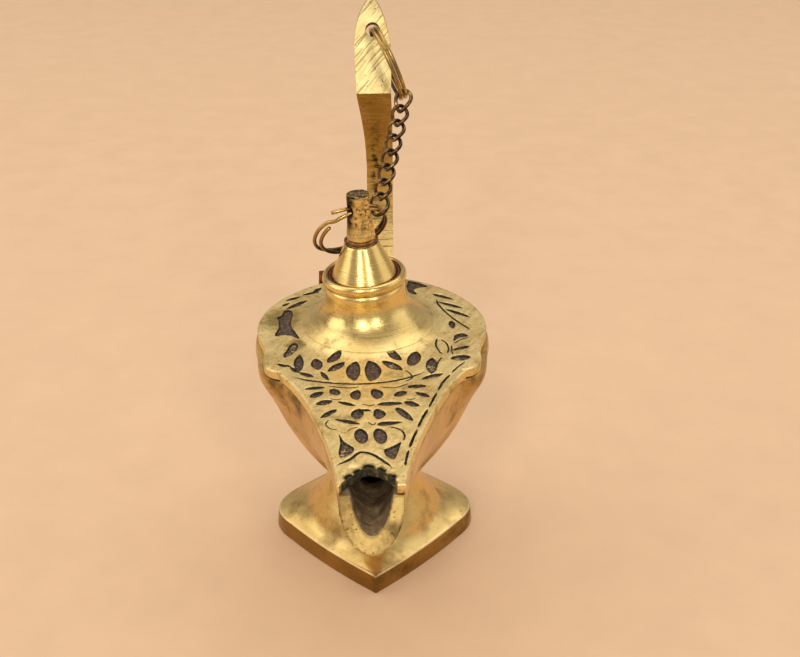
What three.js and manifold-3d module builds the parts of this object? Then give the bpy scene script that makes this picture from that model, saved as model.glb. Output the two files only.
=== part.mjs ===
// Brass oil lamp: leaf-shaped pedestal, lobed bowl drawn out into an open spout, flat deck with a
// turned neck, conical lid on a chain, and a strap handle. Millimetres, +Z up, the spout points to -Y,
// and the origin is the middle of the pedestal's underside.
import * as THREE from 'three';
import { mergeVertices } from 'three/addons/utils/BufferGeometryUtils.js';
import Module from 'manifold-3d';

const wasm = await Module();
wasm.setup();

// Driving dimensions
const GAP = 0.3; // between pieces that rest on each other
const PLINTH_HEIGHT = 7;
const PLINTH_SIDE = 29.5; // half width where the pointed sides turn into the rounded corners
const PLINTH_BULGE = 7; // control of the rounded corners beyond that
const PLINTH_FRONT = 35;
const PLINTH_REAR = 37;
const STEM_TOP = 27;
const STEM_RADIUS = 15;
const SCREW_HOLE_RADIUS = 2.8; // through the bowl's foot and down the stem
const BOWL_RADIUS = 37.6;
const BOWL_WIDEST = 76;
const SWELL_POWER = 1.6; // higher is fuller low down
const BOWL_REAR_RADIUS = 34;
const BOWL_FLOOR = 32.5;
const BOWL_WALL = 3;
const LOBES = 10;
const LOBE_DEPTH = 0.05;
const DECK_UNDERSIDE = 80;
const DECK_TOP = 83;
const DECK_FRONT = -85.8;
const SPOUT_TIP_Y = -95.2;
const SPOUT_TIP_Z = 66.9;
const SPOUT_TIP_HALF_WIDTH = 8.8;
const KEEL_FOOT_Y = -20; // the keel runs from here, low on the bowl, to the spout's tip
const KEEL_FOOT_Z = 29.5;
const SPOUT_WALL = 3.2;
const CHANNEL_FLOOR = 71; // level behind the mouth, then falling to the bowl
const SPOUT_DRIFT = -0.7; // the spout's tip stands a little to -X
const MOUTH_ANGLE = THREE.MathUtils.degToRad(35); // mouth plane, from the vertical
const NECK_X = -1.2;
const NECK_LEAN = THREE.MathUtils.degToRad(-3.5); // neck and lid lean a little towards -X
const NECK_FOOT_RADIUS = 23.8;
const NECK_TOP_RADIUS = 12.6;
const NECK_FLARE_HEIGHT = 14;
const NECK_FLARE_POWER = 2.8; // higher is more tightly curved near the deck
const NECK_BORE = 8.9;
const NECK_SPIGOT_RADIUS = 10.3; // the neck's tube through the deck plate
const SEAT_HEIGHT = 17.2; // all neck and lid heights are above the deck, along the neck's axis
const CONE_RADIUS = 10.4;
const CONE_TOP_RADIUS = 5.2;
const SPIGOT_DEPTH = 5;
const CONE_TOP = 28.8;
const PIN_TOP = 45;
const PIN_HOLE_HEIGHT = 40;
const PIN_HOLE_RADIUS = 2.2;
const PIN_HOLE_AZIMUTH = THREE.MathUtils.degToRad(25.5);
const RING_RADIUS = 11.5; // split rings, middle of the wire
const RING_WIRE = 1.2;
const RING_PITCH = 1.35;
const RING_TURNS = 1.95;
const RING_BENT_SWEEP = 45; // degrees of wire bent out at the first end
const RING_PARTED_FROM = 215; // degrees swept, where a ring that was prised open starts to part
const RING_PARTED_TO = 280;
const RING_PARTED_SHARE = 0.36; // of the splay
const RING_LIFTED_SHARE = 0.3;
const LINK_WIRE = 1.2;
const LINK_PITCH = 4.8;
const END_LINK_EXTRA = 0.275; // the end links are a little longer at each end
const LINK_COUNT = 8;
const HANDLE_THICKNESS = 3;
const BLADE_HOLE = new THREE.Vector3(1.4, 34, 168.8);
const BLADE_HOLE_RADIUS = 2.2;

const X = new THREE.Vector3(1, 0, 0);
const Y = new THREE.Vector3(0, 1, 0);
const Z = new THREE.Vector3(0, 0, 1);

// Solids

function weld(geometry) {
  const bare = geometry.clone();
  bare.deleteAttribute('normal');
  bare.deleteAttribute('uv');
  const welded = mergeVertices(bare, 1e-4);
  const kept = [];
  for (let i = 0; i < welded.index.count; i += 3) {
    const [a, b, c] = [0, 1, 2].map((k) => welded.index.getX(i + k));
    if (a !== b && b !== c && c !== a) kept.push(a, b, c);
  }
  welded.setIndex(kept);
  return welded;
}

function solid(geometry) {
  const welded = weld(geometry);
  const vertProperties = new Float32Array(welded.attributes.position.array);
  const triVerts = new Uint32Array(welded.index.array);
  return new wasm.Manifold(new wasm.Mesh({ numProp: 3, vertProperties, triVerts }));
}

function geometryOf(manifold) {
  const mesh = manifold.getMesh();
  const geometry = new THREE.BufferGeometry();
  geometry.setAttribute('position', new THREE.BufferAttribute(mesh.vertProperties, 3));
  geometry.setIndex(new THREE.BufferAttribute(mesh.triVerts, 1));
  return geometry;
}

// Turned about Z from a profile of [radius, height], outer side upwards
function turned(profile, segments = 64) {
  const points = profile.map(([r, z]) => new THREE.Vector2(r, z));
  return new THREE.LatheGeometry(points, segments).rotateX(Math.PI / 2);
}

// A rod from one point to another
function rod(from, to, radius, segments = 24) {
  const along = to.clone().sub(from);
  const geometry = new THREE.CylinderGeometry(radius, radius, along.length(), segments);
  geometry.applyQuaternion(new THREE.Quaternion().setFromUnitVectors(Y, along.clone().normalize()));
  const middle = from.clone().add(to).multiplyScalar(0.5);
  return geometry.translate(middle.x, middle.y, middle.z);
}

// A closed skin through rings of equally many points, with a flat cap at both ends
function loft(rings) {
  const count = rings[0].length;
  const middle = (ring) => ring.reduce((sum, p) => sum.add(p), new THREE.Vector3()).divideScalar(count);
  const points = [...rings.flat(), middle(rings[0]), middle(rings.at(-1))];
  const first = rings.length * count;
  const last = first + 1;
  const index = [];
  for (let j = 0; j < count; j += 1) {
    const k = (j + 1) % count;
    const top = (rings.length - 1) * count;
    index.push(first, k, j, last, top + j, top + k);
    for (let i = 0; i < rings.length - 1; i += 1) {
      const [a, b] = [i * count + j, i * count + k];
      index.push(a, b, b + count, a, b + count, a + count);
    }
  }
  const geometry = new THREE.BufferGeometry().setFromPoints(points);
  geometry.setIndex(index);
  return geometry;
}

// Wire of round section along a closed or open curve
function wire(curve, diameter, steps) {
  const section = new THREE.Shape();
  section.absarc(0, 0, diameter / 2, 0, 2 * Math.PI);
  const options = { steps, curveSegments: 4, bevelEnabled: false, extrudePath: curve };
  return new THREE.ExtrudeGeometry(section, options);
}

function extruded(shape, depth, curveSegments = 12) {
  return new THREE.ExtrudeGeometry(shape, { depth, curveSegments, bevelEnabled: false });
}

const bell = (x, centre, width) => Math.exp(-(((x - centre) / width) ** 2) / 2);
const smooth = (x, low, high) => THREE.MathUtils.smoothstep(x, low, high);

// Pedestal: pointed front and back, rounded at the sides, drawn up into a round stem

function plinthOutline() {
  const half = new THREE.Path();
  half.moveTo(0, -PLINTH_FRONT);
  half.quadraticCurveTo(17, -21.5, PLINTH_SIDE, -6.5);
  const corner = PLINTH_SIDE + PLINTH_BULGE;
  half.bezierCurveTo(corner, 0.5, corner, 7, PLINTH_SIDE, 14);
  half.quadraticCurveTo(16, 26, 0, PLINTH_REAR);
  const right = half.getSpacedPoints(32);
  const left = right.slice(1, -1).reverse().map((p) => new THREE.Vector2(-p.x, p.y));
  return [...right, ...left];
}

function pedestalSkin(levels) {
  const outline = plinthOutline();
  return loft(levels.map(([z, scale, radius, roundness]) => outline.map((p) => {
    const angle = Math.atan2(p.y, p.x);
    const leaf = new THREE.Vector3(p.x * scale, p.y * scale, z);
    const round = new THREE.Vector3(radius * Math.cos(angle), radius * Math.sin(angle), z);
    return leaf.lerp(round, roundness);
  })));
}

function pedestal() {
  // height, scale of the leaf, radius of the round, share of the round
  const skin = solid(pedestalSkin([
    [0, 1, 30, 0],
    [PLINTH_HEIGHT - 0.6, 0.985, 30, 0],
    [PLINTH_HEIGHT, 0.965, 30, 0],
    [8.6, 0.86, 28, 0.15],
    [11, 0.75, 24.5, 0.5],
    [14, 0.7, 21.6, 0.8],
    [17.5, 0.66, 19, 1],
    [21.5, 0.6, 16.9, 1],
    [24.5, 0.6, 15.6, 1],
    [STEM_TOP - GAP, 0.6, STEM_RADIUS, 1],
  ]));
  const screwHole = solid(rod(new THREE.Vector3(0, 0, 13), new THREE.Vector3(0, 0, 30), SCREW_HOLE_RADIUS));
  return geometryOf(skin.subtract(screwHole));
}

// Bowl and spout

function bowlRadius(z) {
  const rise = THREE.MathUtils.clamp((z - STEM_TOP) / (BOWL_WIDEST - STEM_TOP), 0, 1);
  const swell = STEM_RADIUS + (BOWL_RADIUS - STEM_RADIUS) * (1 - (1 - rise) ** SWELL_POWER);
  return swell - 0.7 * (Math.max(z - BOWL_WIDEST, 0) / 4) ** 2;
}

// Plan of bowl and deck: distance from the axis at an angle measured from the spout, in degrees
function planRadius(angle, shoulderWidth, shoulder) {
  return BOWL_REAR_RADIUS + 2.7 * bell(angle, 85, 25) + shoulder * bell(angle, 48, shoulderWidth);
}

function bowlRing(z, count) {
  const ring = [];
  const share = smooth(z, 52, DECK_UNDERSIDE); // of the deck's plan, taking over from the round
  const lobing = LOBE_DEPTH * smooth(z, STEM_TOP, 38) * (1 - smooth(z, 66, DECK_UNDERSIDE));
  for (let i = 0; i < count; i += 1) {
    const turn = (i / count) * 2 * Math.PI;
    const fromSpout = Math.abs(((i / count) * 360 + 90 + 180) % 360 - 180);
    const plan = planRadius(fromSpout, 13, 6.5 * share) / (BOWL_REAR_RADIUS + 2.7);
    const lobe = 1 - lobing * (1 - Math.abs(Math.sin((LOBES / 2) * (turn + Math.PI / 2)))) ** 1.5;
    const r = bowlRadius(z) * THREE.MathUtils.lerp(1, plan, share) * lobe;
    ring.push(new THREE.Vector3(r * Math.cos(turn), r * Math.sin(turn), z));
  }
  return ring;
}

// Half of the deck's edge from the shoulder's notch to the spout's end
function spoutEdge() {
  return new THREE.CubicBezierCurve(
    new THREE.Vector2(28, -30.5),
    new THREE.Vector2(21, -38),
    new THREE.Vector2(11, -66),
    new THREE.Vector2(SPOUT_TIP_HALF_WIDTH, DECK_FRONT - 0.4),
  );
}

function spoutHalfWidth(y) {
  const edge = spoutEdge().getPoints(60);
  const next = edge.findIndex((p) => p.y <= y);
  if (next === 0) return 28 - 0.12 * (y + 30.5);
  if (next < 0) return SPOUT_TIP_HALF_WIDTH;
  const [a, b] = [edge[next - 1], edge[next]];
  return THREE.MathUtils.mapLinear(y, a.y, b.y, a.x, b.x);
}

function spoutDrift(y) {
  return SPOUT_DRIFT * (1 - smooth(y, DECK_FRONT, -45));
}

function keelHeight(y) {
  const back = THREE.MathUtils.clamp((y - SPOUT_TIP_Y) / (KEEL_FOOT_Y - SPOUT_TIP_Y), 0, 1);
  return SPOUT_TIP_Z - (SPOUT_TIP_Z - KEEL_FOOT_Z) * back ** 1.2;
}

// Sections across the spout: flat on top, a rounded keel below
function spoutSkin(inset, top, from, to, steps, sides) {
  const rings = [];
  for (let i = 0; i <= steps; i += 1) {
    const y = THREE.MathUtils.lerp(from, to, i / steps);
    const half = Math.min(spoutHalfWidth(y), 27) - inset;
    const level = CHANNEL_FLOOR - (CHANNEL_FLOOR - KEEL_FOOT_Z) * smooth(y, -70, -42);
    const keel = inset > 0 ? Math.max(keelHeight(y) + inset * 1.15, level) : keelHeight(y);
    const sharpness = 1.2 + 0.7 * smooth(y, -80, -40);
    const ring = [];
    for (let k = 0; k <= sides; k += 1) {
      const turn = THREE.MathUtils.lerp(-Math.PI / 2, Math.PI / 2, k / sides);
      const x = half * Math.sign(turn) * Math.abs(Math.sin(turn)) ** sharpness;
      ring.push(new THREE.Vector3(x + spoutDrift(y), y, top - (top - keel) * Math.cos(turn)));
    }
    rings.push(ring);
  }
  return loft(rings);
}

// Everything in front of the oblique mouth plane
function beyondMouth() {
  const size = 60;
  const box = new THREE.BoxGeometry(size, size, size).translate(0, -size / 2, 0);
  box.rotateX(-MOUTH_ANGLE);
  return solid(box.translate(0, DECK_FRONT - 0.2, DECK_UNDERSIDE));
}

function bowlHollow() {
  const profile = [[0, BOWL_FLOOR]];
  for (const z of [BOWL_FLOOR, 37, 43, 51, 61, 72, DECK_TOP]) {
    profile.push([bowlRadius(z) * 0.93 - BOWL_WALL, z]);
  }
  profile.push([0, DECK_TOP]);
  return solid(turned(profile, 48));
}

function bowl() {
  const rings = [STEM_TOP, 29.5, 33, 38, 44, 51, 59, 67, 74, DECK_UNDERSIDE - GAP];
  const body = solid(loft(rings.map((z) => bowlRing(z, 80))));
  const spout = solid(spoutSkin(0, DECK_UNDERSIDE - GAP, -15, SPOUT_TIP_Y - 6, 20, 16));
  const channel = solid(spoutSkin(SPOUT_WALL, DECK_TOP, -14, SPOUT_TIP_Y - 8, 16, 12));
  const screwHole = solid(rod(new THREE.Vector3(0, 0, 20), new THREE.Vector3(0, 0, 40), SCREW_HOLE_RADIUS));
  return geometryOf(
    body.add(spout).subtract(bowlHollow()).subtract(channel).subtract(screwHole).subtract(beyondMouth()),
  );
}

// Screw and washer that hold the bowl down on the pedestal

function baseScrew() {
  const [foot, seat] = [14, BOWL_FLOOR + 1.3];
  const body = solid(turned([[0, foot], [1.8, foot], [2.4, foot + 0.8], [2.4, seat], [5, seat],
    [5, seat + 1.6], [3.6, seat + 3], [0, seat + 3]], 24));
  const slot = solid(new THREE.BoxGeometry(12, 1.1, 2).translate(0, 0, seat + 2.8));
  return geometryOf(body.subtract(slot));
}

function baseWasher() {
  const [low, high] = [BOWL_FLOOR + GAP, BOWL_FLOOR + 1.0];
  return turned([[2.9, low], [7, low], [7, high], [2.9, high], [2.9, low]], 32);
}

// Deck plate

function deckOutline() {
  const shape = new THREE.Shape();
  const edge = spoutEdge().getPoints(16);
  const round = [];
  for (let angle = 42; angle <= 318; angle += 3) {
    const r = planRadius(Math.min(angle, 360 - angle), 9, 7);
    const turn = THREE.MathUtils.degToRad(angle - 90);
    round.push(new THREE.Vector2(r * Math.cos(turn), r * Math.sin(turn)));
  }
  const tip = new THREE.Vector2(SPOUT_TIP_HALF_WIDTH, DECK_FRONT);
  const right = [tip, ...edge.slice(0, -1).reverse()];
  const left = right.map((p) => new THREE.Vector2(-p.x, p.y)).reverse();
  for (const p of [...right, ...left]) p.x += spoutDrift(p.y);
  shape.setFromPoints([...right, ...round, ...left]);
  return shape;
}

function deckPlate() {
  const plate = solid(extruded(deckOutline(), DECK_TOP - DECK_UNDERSIDE).translate(0, 0, DECK_UNDERSIDE));
  const hole = solid(rod(new THREE.Vector3(NECK_X, 0, 70), new THREE.Vector3(NECK_X, 0, 90), NECK_SPIGOT_RADIUS + GAP, 48));
  // the edge over the mouth is broken away
  const broken = new THREE.Shape([[-9.2, -90], [-8.6, -85], [-5.2, -81.2], [-1.6, -78.2], [1.2, -78.9],
    [3.6, -81.4], [5.6, -84.2], [6, -90]].map(([x, y]) => new THREE.Vector2(x, y)));
  const notch = solid(extruded(broken, 20).translate(0, 0, 70));
  return geometryOf(plate.subtract(hole).subtract(notch));
}

// Neck and lid stand on one leaning axis

const neckFrame = new THREE.Matrix4()
  .makeRotationY(NECK_LEAN)
  .setPosition(NECK_X, 0, DECK_TOP);

function neckRadius(h) {
  const left = Math.max(1 - h / NECK_FLARE_HEIGHT, 0);
  return NECK_TOP_RADIUS + (NECK_FOOT_RADIUS - NECK_TOP_RADIUS) * left ** NECK_FLARE_POWER;
}

function neck() {
  const flare = [-1.6, 0.3, 2, 4, 6.5, 9.5, 13].map((h) => [neckRadius(h), h]);
  const collar = [];
  for (let i = 0; i <= 6; i += 1) {
    const turn = THREE.MathUtils.lerp(-2.1, 1.9, i / 6);
    collar.push([12.1 + 1.2 * Math.cos(turn), 17.2 + 1.7 * Math.sin(turn)]);
  }
  const rim = [[11.5, SEAT_HEIGHT + 1.2], [11.3, SEAT_HEIGHT], [NECK_BORE, SEAT_HEIGHT]];
  const profile = [...flare, ...collar, ...rim, [NECK_BORE, -1.6], flare[0]];
  const body = solid(turned(profile, 60).applyMatrix4(neckFrame));
  const below = solid(new THREE.BoxGeometry(80, 80, 20).translate(0, 0, DECK_TOP + GAP - 10));
  const tube = [[NECK_BORE, -4], [NECK_SPIGOT_RADIUS, -4], [NECK_SPIGOT_RADIUS, 2], [NECK_BORE, 2],
    [NECK_BORE, -4]];
  const spigot = solid(turned(tube, 48).translate(NECK_X, 0, DECK_TOP));
  const bore = solid(rod(new THREE.Vector3(0, 0, -12), new THREE.Vector3(0, 0, SEAT_HEIGHT + 2), NECK_BORE, 60)
    .applyMatrix4(neckFrame));
  return geometryOf(body.subtract(below).add(spigot).subtract(bore));
}

function lidCone() {
  const seat = SEAT_HEIGHT + GAP;
  const spigot = NECK_BORE - 0.4;
  const foot = seat - SPIGOT_DEPTH;
  return turned([[0, seat - 1.5], [6.3, seat - 1.5], [6.3, foot], [spigot, foot], [spigot, seat],
    [CONE_RADIUS, seat], [CONE_RADIUS, seat + 0.6], [CONE_TOP_RADIUS, CONE_TOP], [2.4, CONE_TOP],
    [2.4, CONE_TOP - 6], [0, CONE_TOP - 6]], 64).applyMatrix4(neckFrame);
}

function pinHoleAxis() {
  return new THREE.Vector3(Math.cos(PIN_HOLE_AZIMUTH), Math.sin(PIN_HOLE_AZIMUTH), 0);
}

function lidPin() {
  const foot = CONE_TOP + GAP;
  const body = solid(turned([[0, CONE_TOP - 5.6], [2, CONE_TOP - 5.6], [2, foot], [4.05, foot],
    [4.05, foot + 1.1], [4.5, foot + 1.5], [4, foot + 6], [3.6, foot + 11], [3.45, PIN_TOP - 0.4],
    [3.2, PIN_TOP], [0, PIN_TOP]], 40));
  const middle = new THREE.Vector3(0, 0, PIN_HOLE_HEIGHT);
  const reach = pinHoleAxis().multiplyScalar(8);
  const hole = solid(rod(middle.clone().sub(reach), middle.clone().add(reach), PIN_HOLE_RADIUS));
  return geometryOf(body.subtract(hole)).applyMatrix4(neckFrame);
}

function pinSolderRing() {
  const middle = CONE_TOP + 0.95;
  return new THREE.TorusGeometry(4.95, 0.5, 6, 32).translate(0, 0, middle).applyMatrix4(neckFrame);
}

function collarResidue() {
  const floor = SEAT_HEIGHT + GAP + 0.1;
  const [inner, outer] = [CONE_RADIUS + 0.35, 11.0];
  return turned([[inner, floor], [outer - 0.1, floor], [outer, floor + 0.7], [inner, floor + 0.5],
    [inner, floor]], 64).applyMatrix4(neckFrame);
}

// Handle: a side profile cut by a front outline

const BLADE_NOSE = new THREE.Vector2(25.6, 150.8);
const BLADE_TIP = new THREE.Vector2(38.8, 176.8);

function handleSide() {
  const lean = BLADE_TIP.clone().sub(BLADE_NOSE).normalize();
  const back = new THREE.Vector2(lean.y, -lean.x).multiplyScalar(HANDLE_THICKNESS);
  const side = new THREE.Shape();
  side.moveTo(BLADE_TIP.x, BLADE_TIP.y);
  side.lineTo(BLADE_NOSE.x, BLADE_NOSE.y);
  side.bezierCurveTo(29, 143, 41, 133, 42.2, 116);
  side.bezierCurveTo(43.2, 102, 39.5, 93, 35.4, 85.5);
  side.lineTo(38.8, 83.6);
  side.bezierCurveTo(43.4, 91.5, 47.6, 102, 46.2, 116.5);
  side.bezierCurveTo(44.5, 134, 34.5, 143.5, BLADE_NOSE.x + back.x + 1.6, BLADE_NOSE.y + back.y + 1.5);
  side.lineTo(BLADE_TIP.x + back.x, BLADE_TIP.y + back.y);
  return side;
}

function handleFront() {
  const front = new THREE.Shape();
  front.moveTo(1.3, 178);
  front.bezierCurveTo(-2.4, 174.5, -4.3, 170, -4.4, 164);
  front.lineTo(-4, 151);
  front.bezierCurveTo(-3, 143, -1.3, 134, -1.1, 120);
  front.lineTo(-1.1, 80);
  front.lineTo(7.7, 80);
  front.lineTo(7.7, 120);
  front.bezierCurveTo(7.7, 134, 7.2, 143, 6.9, 151);
  front.lineTo(7.2, 162);
  front.bezierCurveTo(6.6, 168, 5, 173.5, 1.3, 178);
  return front;
}

function handleStrap() {
  const side = extruded(handleSide(), 30, 10);
  side.applyMatrix4(new THREE.Matrix4().makeBasis(Y, Z, X).setPosition(-15, 0, 0));
  const front = extruded(handleFront(), 80, 8);
  front.applyMatrix4(new THREE.Matrix4().makeBasis(X, Z, Y.clone().negate()).setPosition(0, 70, 0));
  const reach = bladeNormal().multiplyScalar(12);
  const hole = rod(BLADE_HOLE.clone().sub(reach), BLADE_HOLE.clone().add(reach), BLADE_HOLE_RADIUS, 28);
  return geometryOf(solid(side).intersect(solid(front)).subtract(solid(hole)));
}

function bladeNormal() {
  const lean = BLADE_TIP.clone().sub(BLADE_NOSE).normalize();
  return new THREE.Vector3(0, lean.y, -lean.x);
}

// Scroll rolled up across the root of the handle
function rootScroll() {
  const roll = new THREE.Shape();
  const [y, z, turns] = [38.9, 79.2, 1.6];
  const outer = [];
  const inner = [];
  for (let i = 0; i <= 30; i += 1) {
    const turn = -0.6 * Math.PI + (i / 30) * turns * 2 * Math.PI;
    const r = 4.1 - 1.9 * (i / 30);
    outer.push(new THREE.Vector2(y + r * Math.cos(turn), z + r * Math.sin(turn)));
    inner.push(new THREE.Vector2(y + (r - 0.9) * Math.cos(turn), z + (r - 0.9) * Math.sin(turn)));
  }
  roll.setFromPoints([...outer, ...inner.reverse()]);
  const geometry = extruded(roll, 30);
  return geometry.applyMatrix4(new THREE.Matrix4().makeBasis(Y, Z, X).setPosition(-18.5, 0, 0));
}

// Split rings: nearly two turns side by side, crossing over where the ends face each other

class SplitRingCurve extends THREE.Curve {
  constructor(centre, towardsHole, across, start, splay) {
    super();
    Object.assign(this, { centre, towardsHole, across, start, splay });
    this.axis = towardsHole.clone().cross(across);
  }

  getPoint(t, target = new THREE.Vector3()) {
    const swept = t * RING_TURNS * 360;
    const window = (2 - RING_TURNS) * 360;
    const loose = Math.max(1 - swept / RING_BENT_SWEEP, 0) ** 2;
    const firstTurn = smooth(swept, RING_PARTED_FROM, RING_PARTED_TO) * (1 - smooth(swept, 324, 350));
    const lastTurn = smooth(swept, RING_PARTED_FROM + 360, RING_PARTED_TO + 360);
    const parted = RING_PARTED_SHARE * this.splay * (firstTurn - lastTurn);
    const radius = RING_RADIUS + this.splay * loose + parted;
    const offset = RING_PITCH * (0.5 - smooth(swept, 360 - window, 360)) + RING_LIFTED_SHARE * this.splay * loose;
    const angle = THREE.MathUtils.degToRad(this.start + swept);
    return target.copy(this.centre)
      .addScaledVector(this.towardsHole, radius * Math.cos(angle))
      .addScaledVector(this.across, radius * Math.sin(angle))
      .addScaledVector(this.axis, offset);
  }
}

const along = (v, axis) => v.clone().addScaledVector(axis, -v.dot(axis)).normalize();

const pinHole = new THREE.Vector3(0, 0, PIN_HOLE_HEIGHT).applyMatrix4(neckFrame);
const pinHoleDirection = pinHoleAxis().transformDirection(neckFrame);
const lidRingDown = along(new THREE.Vector3(-0.168, 0.54, -0.825), pinHoleDirection);
const lidRingCentre = pinHole.clone().addScaledVector(lidRingDown, RING_RADIUS + 0.3);

const HANDLE_RING_LEAN = THREE.MathUtils.degToRad(24);
const downBlade = new THREE.Vector3(0, BLADE_NOSE.x - BLADE_TIP.x, BLADE_NOSE.y - BLADE_TIP.y).normalize();
const handleRingDown = downBlade.clone().multiplyScalar(Math.cos(HANDLE_RING_LEAN))
  .addScaledVector(X, Math.sin(HANDLE_RING_LEAN));
const handleRingAcross = along(bladeNormal(), handleRingDown);
const handleRingCentre = BLADE_HOLE.clone().addScaledVector(handleRingDown, RING_RADIUS + 0.2);

function splitRing(centre, down, across, start, splay) {
  const curve = new SplitRingCurve(centre, down.clone().negate(), across, start, splay);
  return wire(curve, RING_WIRE, 76);
}

// Curb chain: oval links, each twisted a quarter turn from end to end

const LAST_LINK_ANGLE = THREE.MathUtils.degToRad(40);
const chainTop = handleRingCentre.clone().addScaledVector(handleRingDown, RING_RADIUS);
const chainBottom = lidRingCentre.clone()
  .addScaledVector(lidRingDown, -RING_RADIUS * Math.cos(LAST_LINK_ANGLE))
  .addScaledVector(pinHoleDirection, RING_RADIUS * Math.sin(LAST_LINK_ANGLE));
const chainDown = chainBottom.clone().sub(chainTop).normalize();
const chainSide = chainDown.clone().cross(Z).normalize();
const chainFront = chainDown.clone().cross(chainSide);
const chainMiddle = chainTop.clone().add(chainBottom).multiplyScalar(0.5);

class LinkCurve extends THREE.Curve {
  constructor(middle, halfLength, halfWidth, topTwist, bottomTwist) {
    super();
    Object.assign(this, { middle, halfLength, halfWidth, topTwist, bottomTwist });
  }

  getPoint(t, target = new THREE.Vector3()) {
    const turn = t * 2 * Math.PI;
    const share = (1 + Math.cos(turn)) / 2;
    const twist = THREE.MathUtils.degToRad(THREE.MathUtils.lerp(this.topTwist, this.bottomTwist, share));
    const side = this.halfWidth * Math.sin(turn);
    return target.copy(this.middle)
      .addScaledVector(chainDown, this.halfLength * Math.cos(turn))
      .addScaledVector(chainSide, side * Math.cos(twist))
      .addScaledVector(chainFront, side * Math.sin(twist));
  }
}

function chainLink(number) {
  const first = number === 1;
  const last = number === LINK_COUNT;
  const middle = chainMiddle.clone()
    .addScaledVector(chainDown, LINK_PITCH * (number - (LINK_COUNT + 1) / 2));
  const halfLength = (LINK_PITCH + LINK_WIRE + 0.35) / 2 + (first || last ? END_LINK_EXTRA : 0);
  const halfWidth = first || last ? 2.7 : 2.4;
  return ringTube(new LinkCurve(middle, halfLength, halfWidth, first ? -15 : -45, last ? 15 : 45));
}

// Wire bent into a closed loop
function ringTube(curve) {
  const steps = 22;
  const sides = 6;
  const frames = curve.computeFrenetFrames(steps, true);
  const points = [];
  for (let i = 0; i < steps; i += 1) {
    const middle = curve.getPointAt(i / steps);
    for (let k = 0; k < sides; k += 1) {
      const turn = (k / sides) * 2 * Math.PI;
      points.push(middle.clone()
        .addScaledVector(frames.normals[i], (LINK_WIRE / 2) * Math.cos(turn))
        .addScaledVector(frames.binormals[i], (LINK_WIRE / 2) * Math.sin(turn)));
    }
  }
  const index = [];
  for (let i = 0; i < steps; i += 1) {
    for (let k = 0; k < sides; k += 1) {
      const [a, b] = [i * sides + k, i * sides + ((k + 1) % sides)];
      const [c, d] = [a, b].map((v) => (v + sides) % (steps * sides));
      index.push(a, b, d, a, d, c);
    }
  }
  const geometry = new THREE.BufferGeometry().setFromPoints(points);
  geometry.setIndex(index);
  return geometry;
}

// Assembly

const brass = { color: 0xc79a45, roughness: 0.32, metalness: 1 };
const castBrass = { color: 0xb98a3a, roughness: 0.45, metalness: 1 };
const groundBrass = { color: 0xd9b968, roughness: 0.38, metalness: 1 };
const bronze = { color: 0x3b2d24, roughness: 0.4, metalness: 1 };
const antique = { color: 0x8a662c, roughness: 0.38, metalness: 1 };
const residue = { color: 0x4a2320, roughness: 0.8, metalness: 0 };
const rubber = { color: 0x2c2622, roughness: 0.85, metalness: 0 };

const lamp = new THREE.Group();

function place(name, geometry, finish) {
  const mesh = new THREE.Mesh(weld(geometry), new THREE.MeshStandardMaterial(finish));
  mesh.name = name;
  lamp.add(mesh);
}

place('pedestal', pedestal(), castBrass);
place('bowl', bowl(), castBrass);
place('base_screw', baseScrew(), brass);
place('base_washer', baseWasher(), rubber);
place('deck_plate', deckPlate(), groundBrass);
place('neck', neck(), brass);
place('collar_residue', collarResidue(), residue);
place('lid_cone', lidCone(), brass);
place('lid_pin', lidPin(), brass);
place('pin_solder_ring', pinSolderRing(), residue);
place('handle_strap', handleStrap(), groundBrass);
place('root_scroll', rootScroll(), bronze);
place('lid_split_ring', splitRing(lidRingCentre, lidRingDown, pinHoleDirection, -38, 2.2), antique);
place('handle_split_ring', splitRing(handleRingCentre, handleRingDown, handleRingAcross, 100, 0), antique);
for (let number = 1; number <= LINK_COUNT; number += 1) {
  place(`chain_link_${number}`, chainLink(number), bronze);
}

export default lamp;
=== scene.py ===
import math

import bpy
import numpy as np
from mathutils import Matrix, Vector, geometry


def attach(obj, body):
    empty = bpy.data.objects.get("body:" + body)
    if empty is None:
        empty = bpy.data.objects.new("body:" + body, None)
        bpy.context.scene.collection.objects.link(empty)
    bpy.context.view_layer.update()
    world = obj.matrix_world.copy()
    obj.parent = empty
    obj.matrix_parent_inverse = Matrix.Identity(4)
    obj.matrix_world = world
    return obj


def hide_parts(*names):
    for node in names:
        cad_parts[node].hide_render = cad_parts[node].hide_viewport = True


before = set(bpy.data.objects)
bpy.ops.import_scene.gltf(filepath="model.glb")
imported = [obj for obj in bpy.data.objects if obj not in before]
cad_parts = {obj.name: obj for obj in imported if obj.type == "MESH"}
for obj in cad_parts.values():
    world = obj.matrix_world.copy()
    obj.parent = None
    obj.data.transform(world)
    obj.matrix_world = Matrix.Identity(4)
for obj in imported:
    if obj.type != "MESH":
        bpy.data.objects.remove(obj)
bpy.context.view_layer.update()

MM = 0.001
TAU = 2 * math.pi

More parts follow.
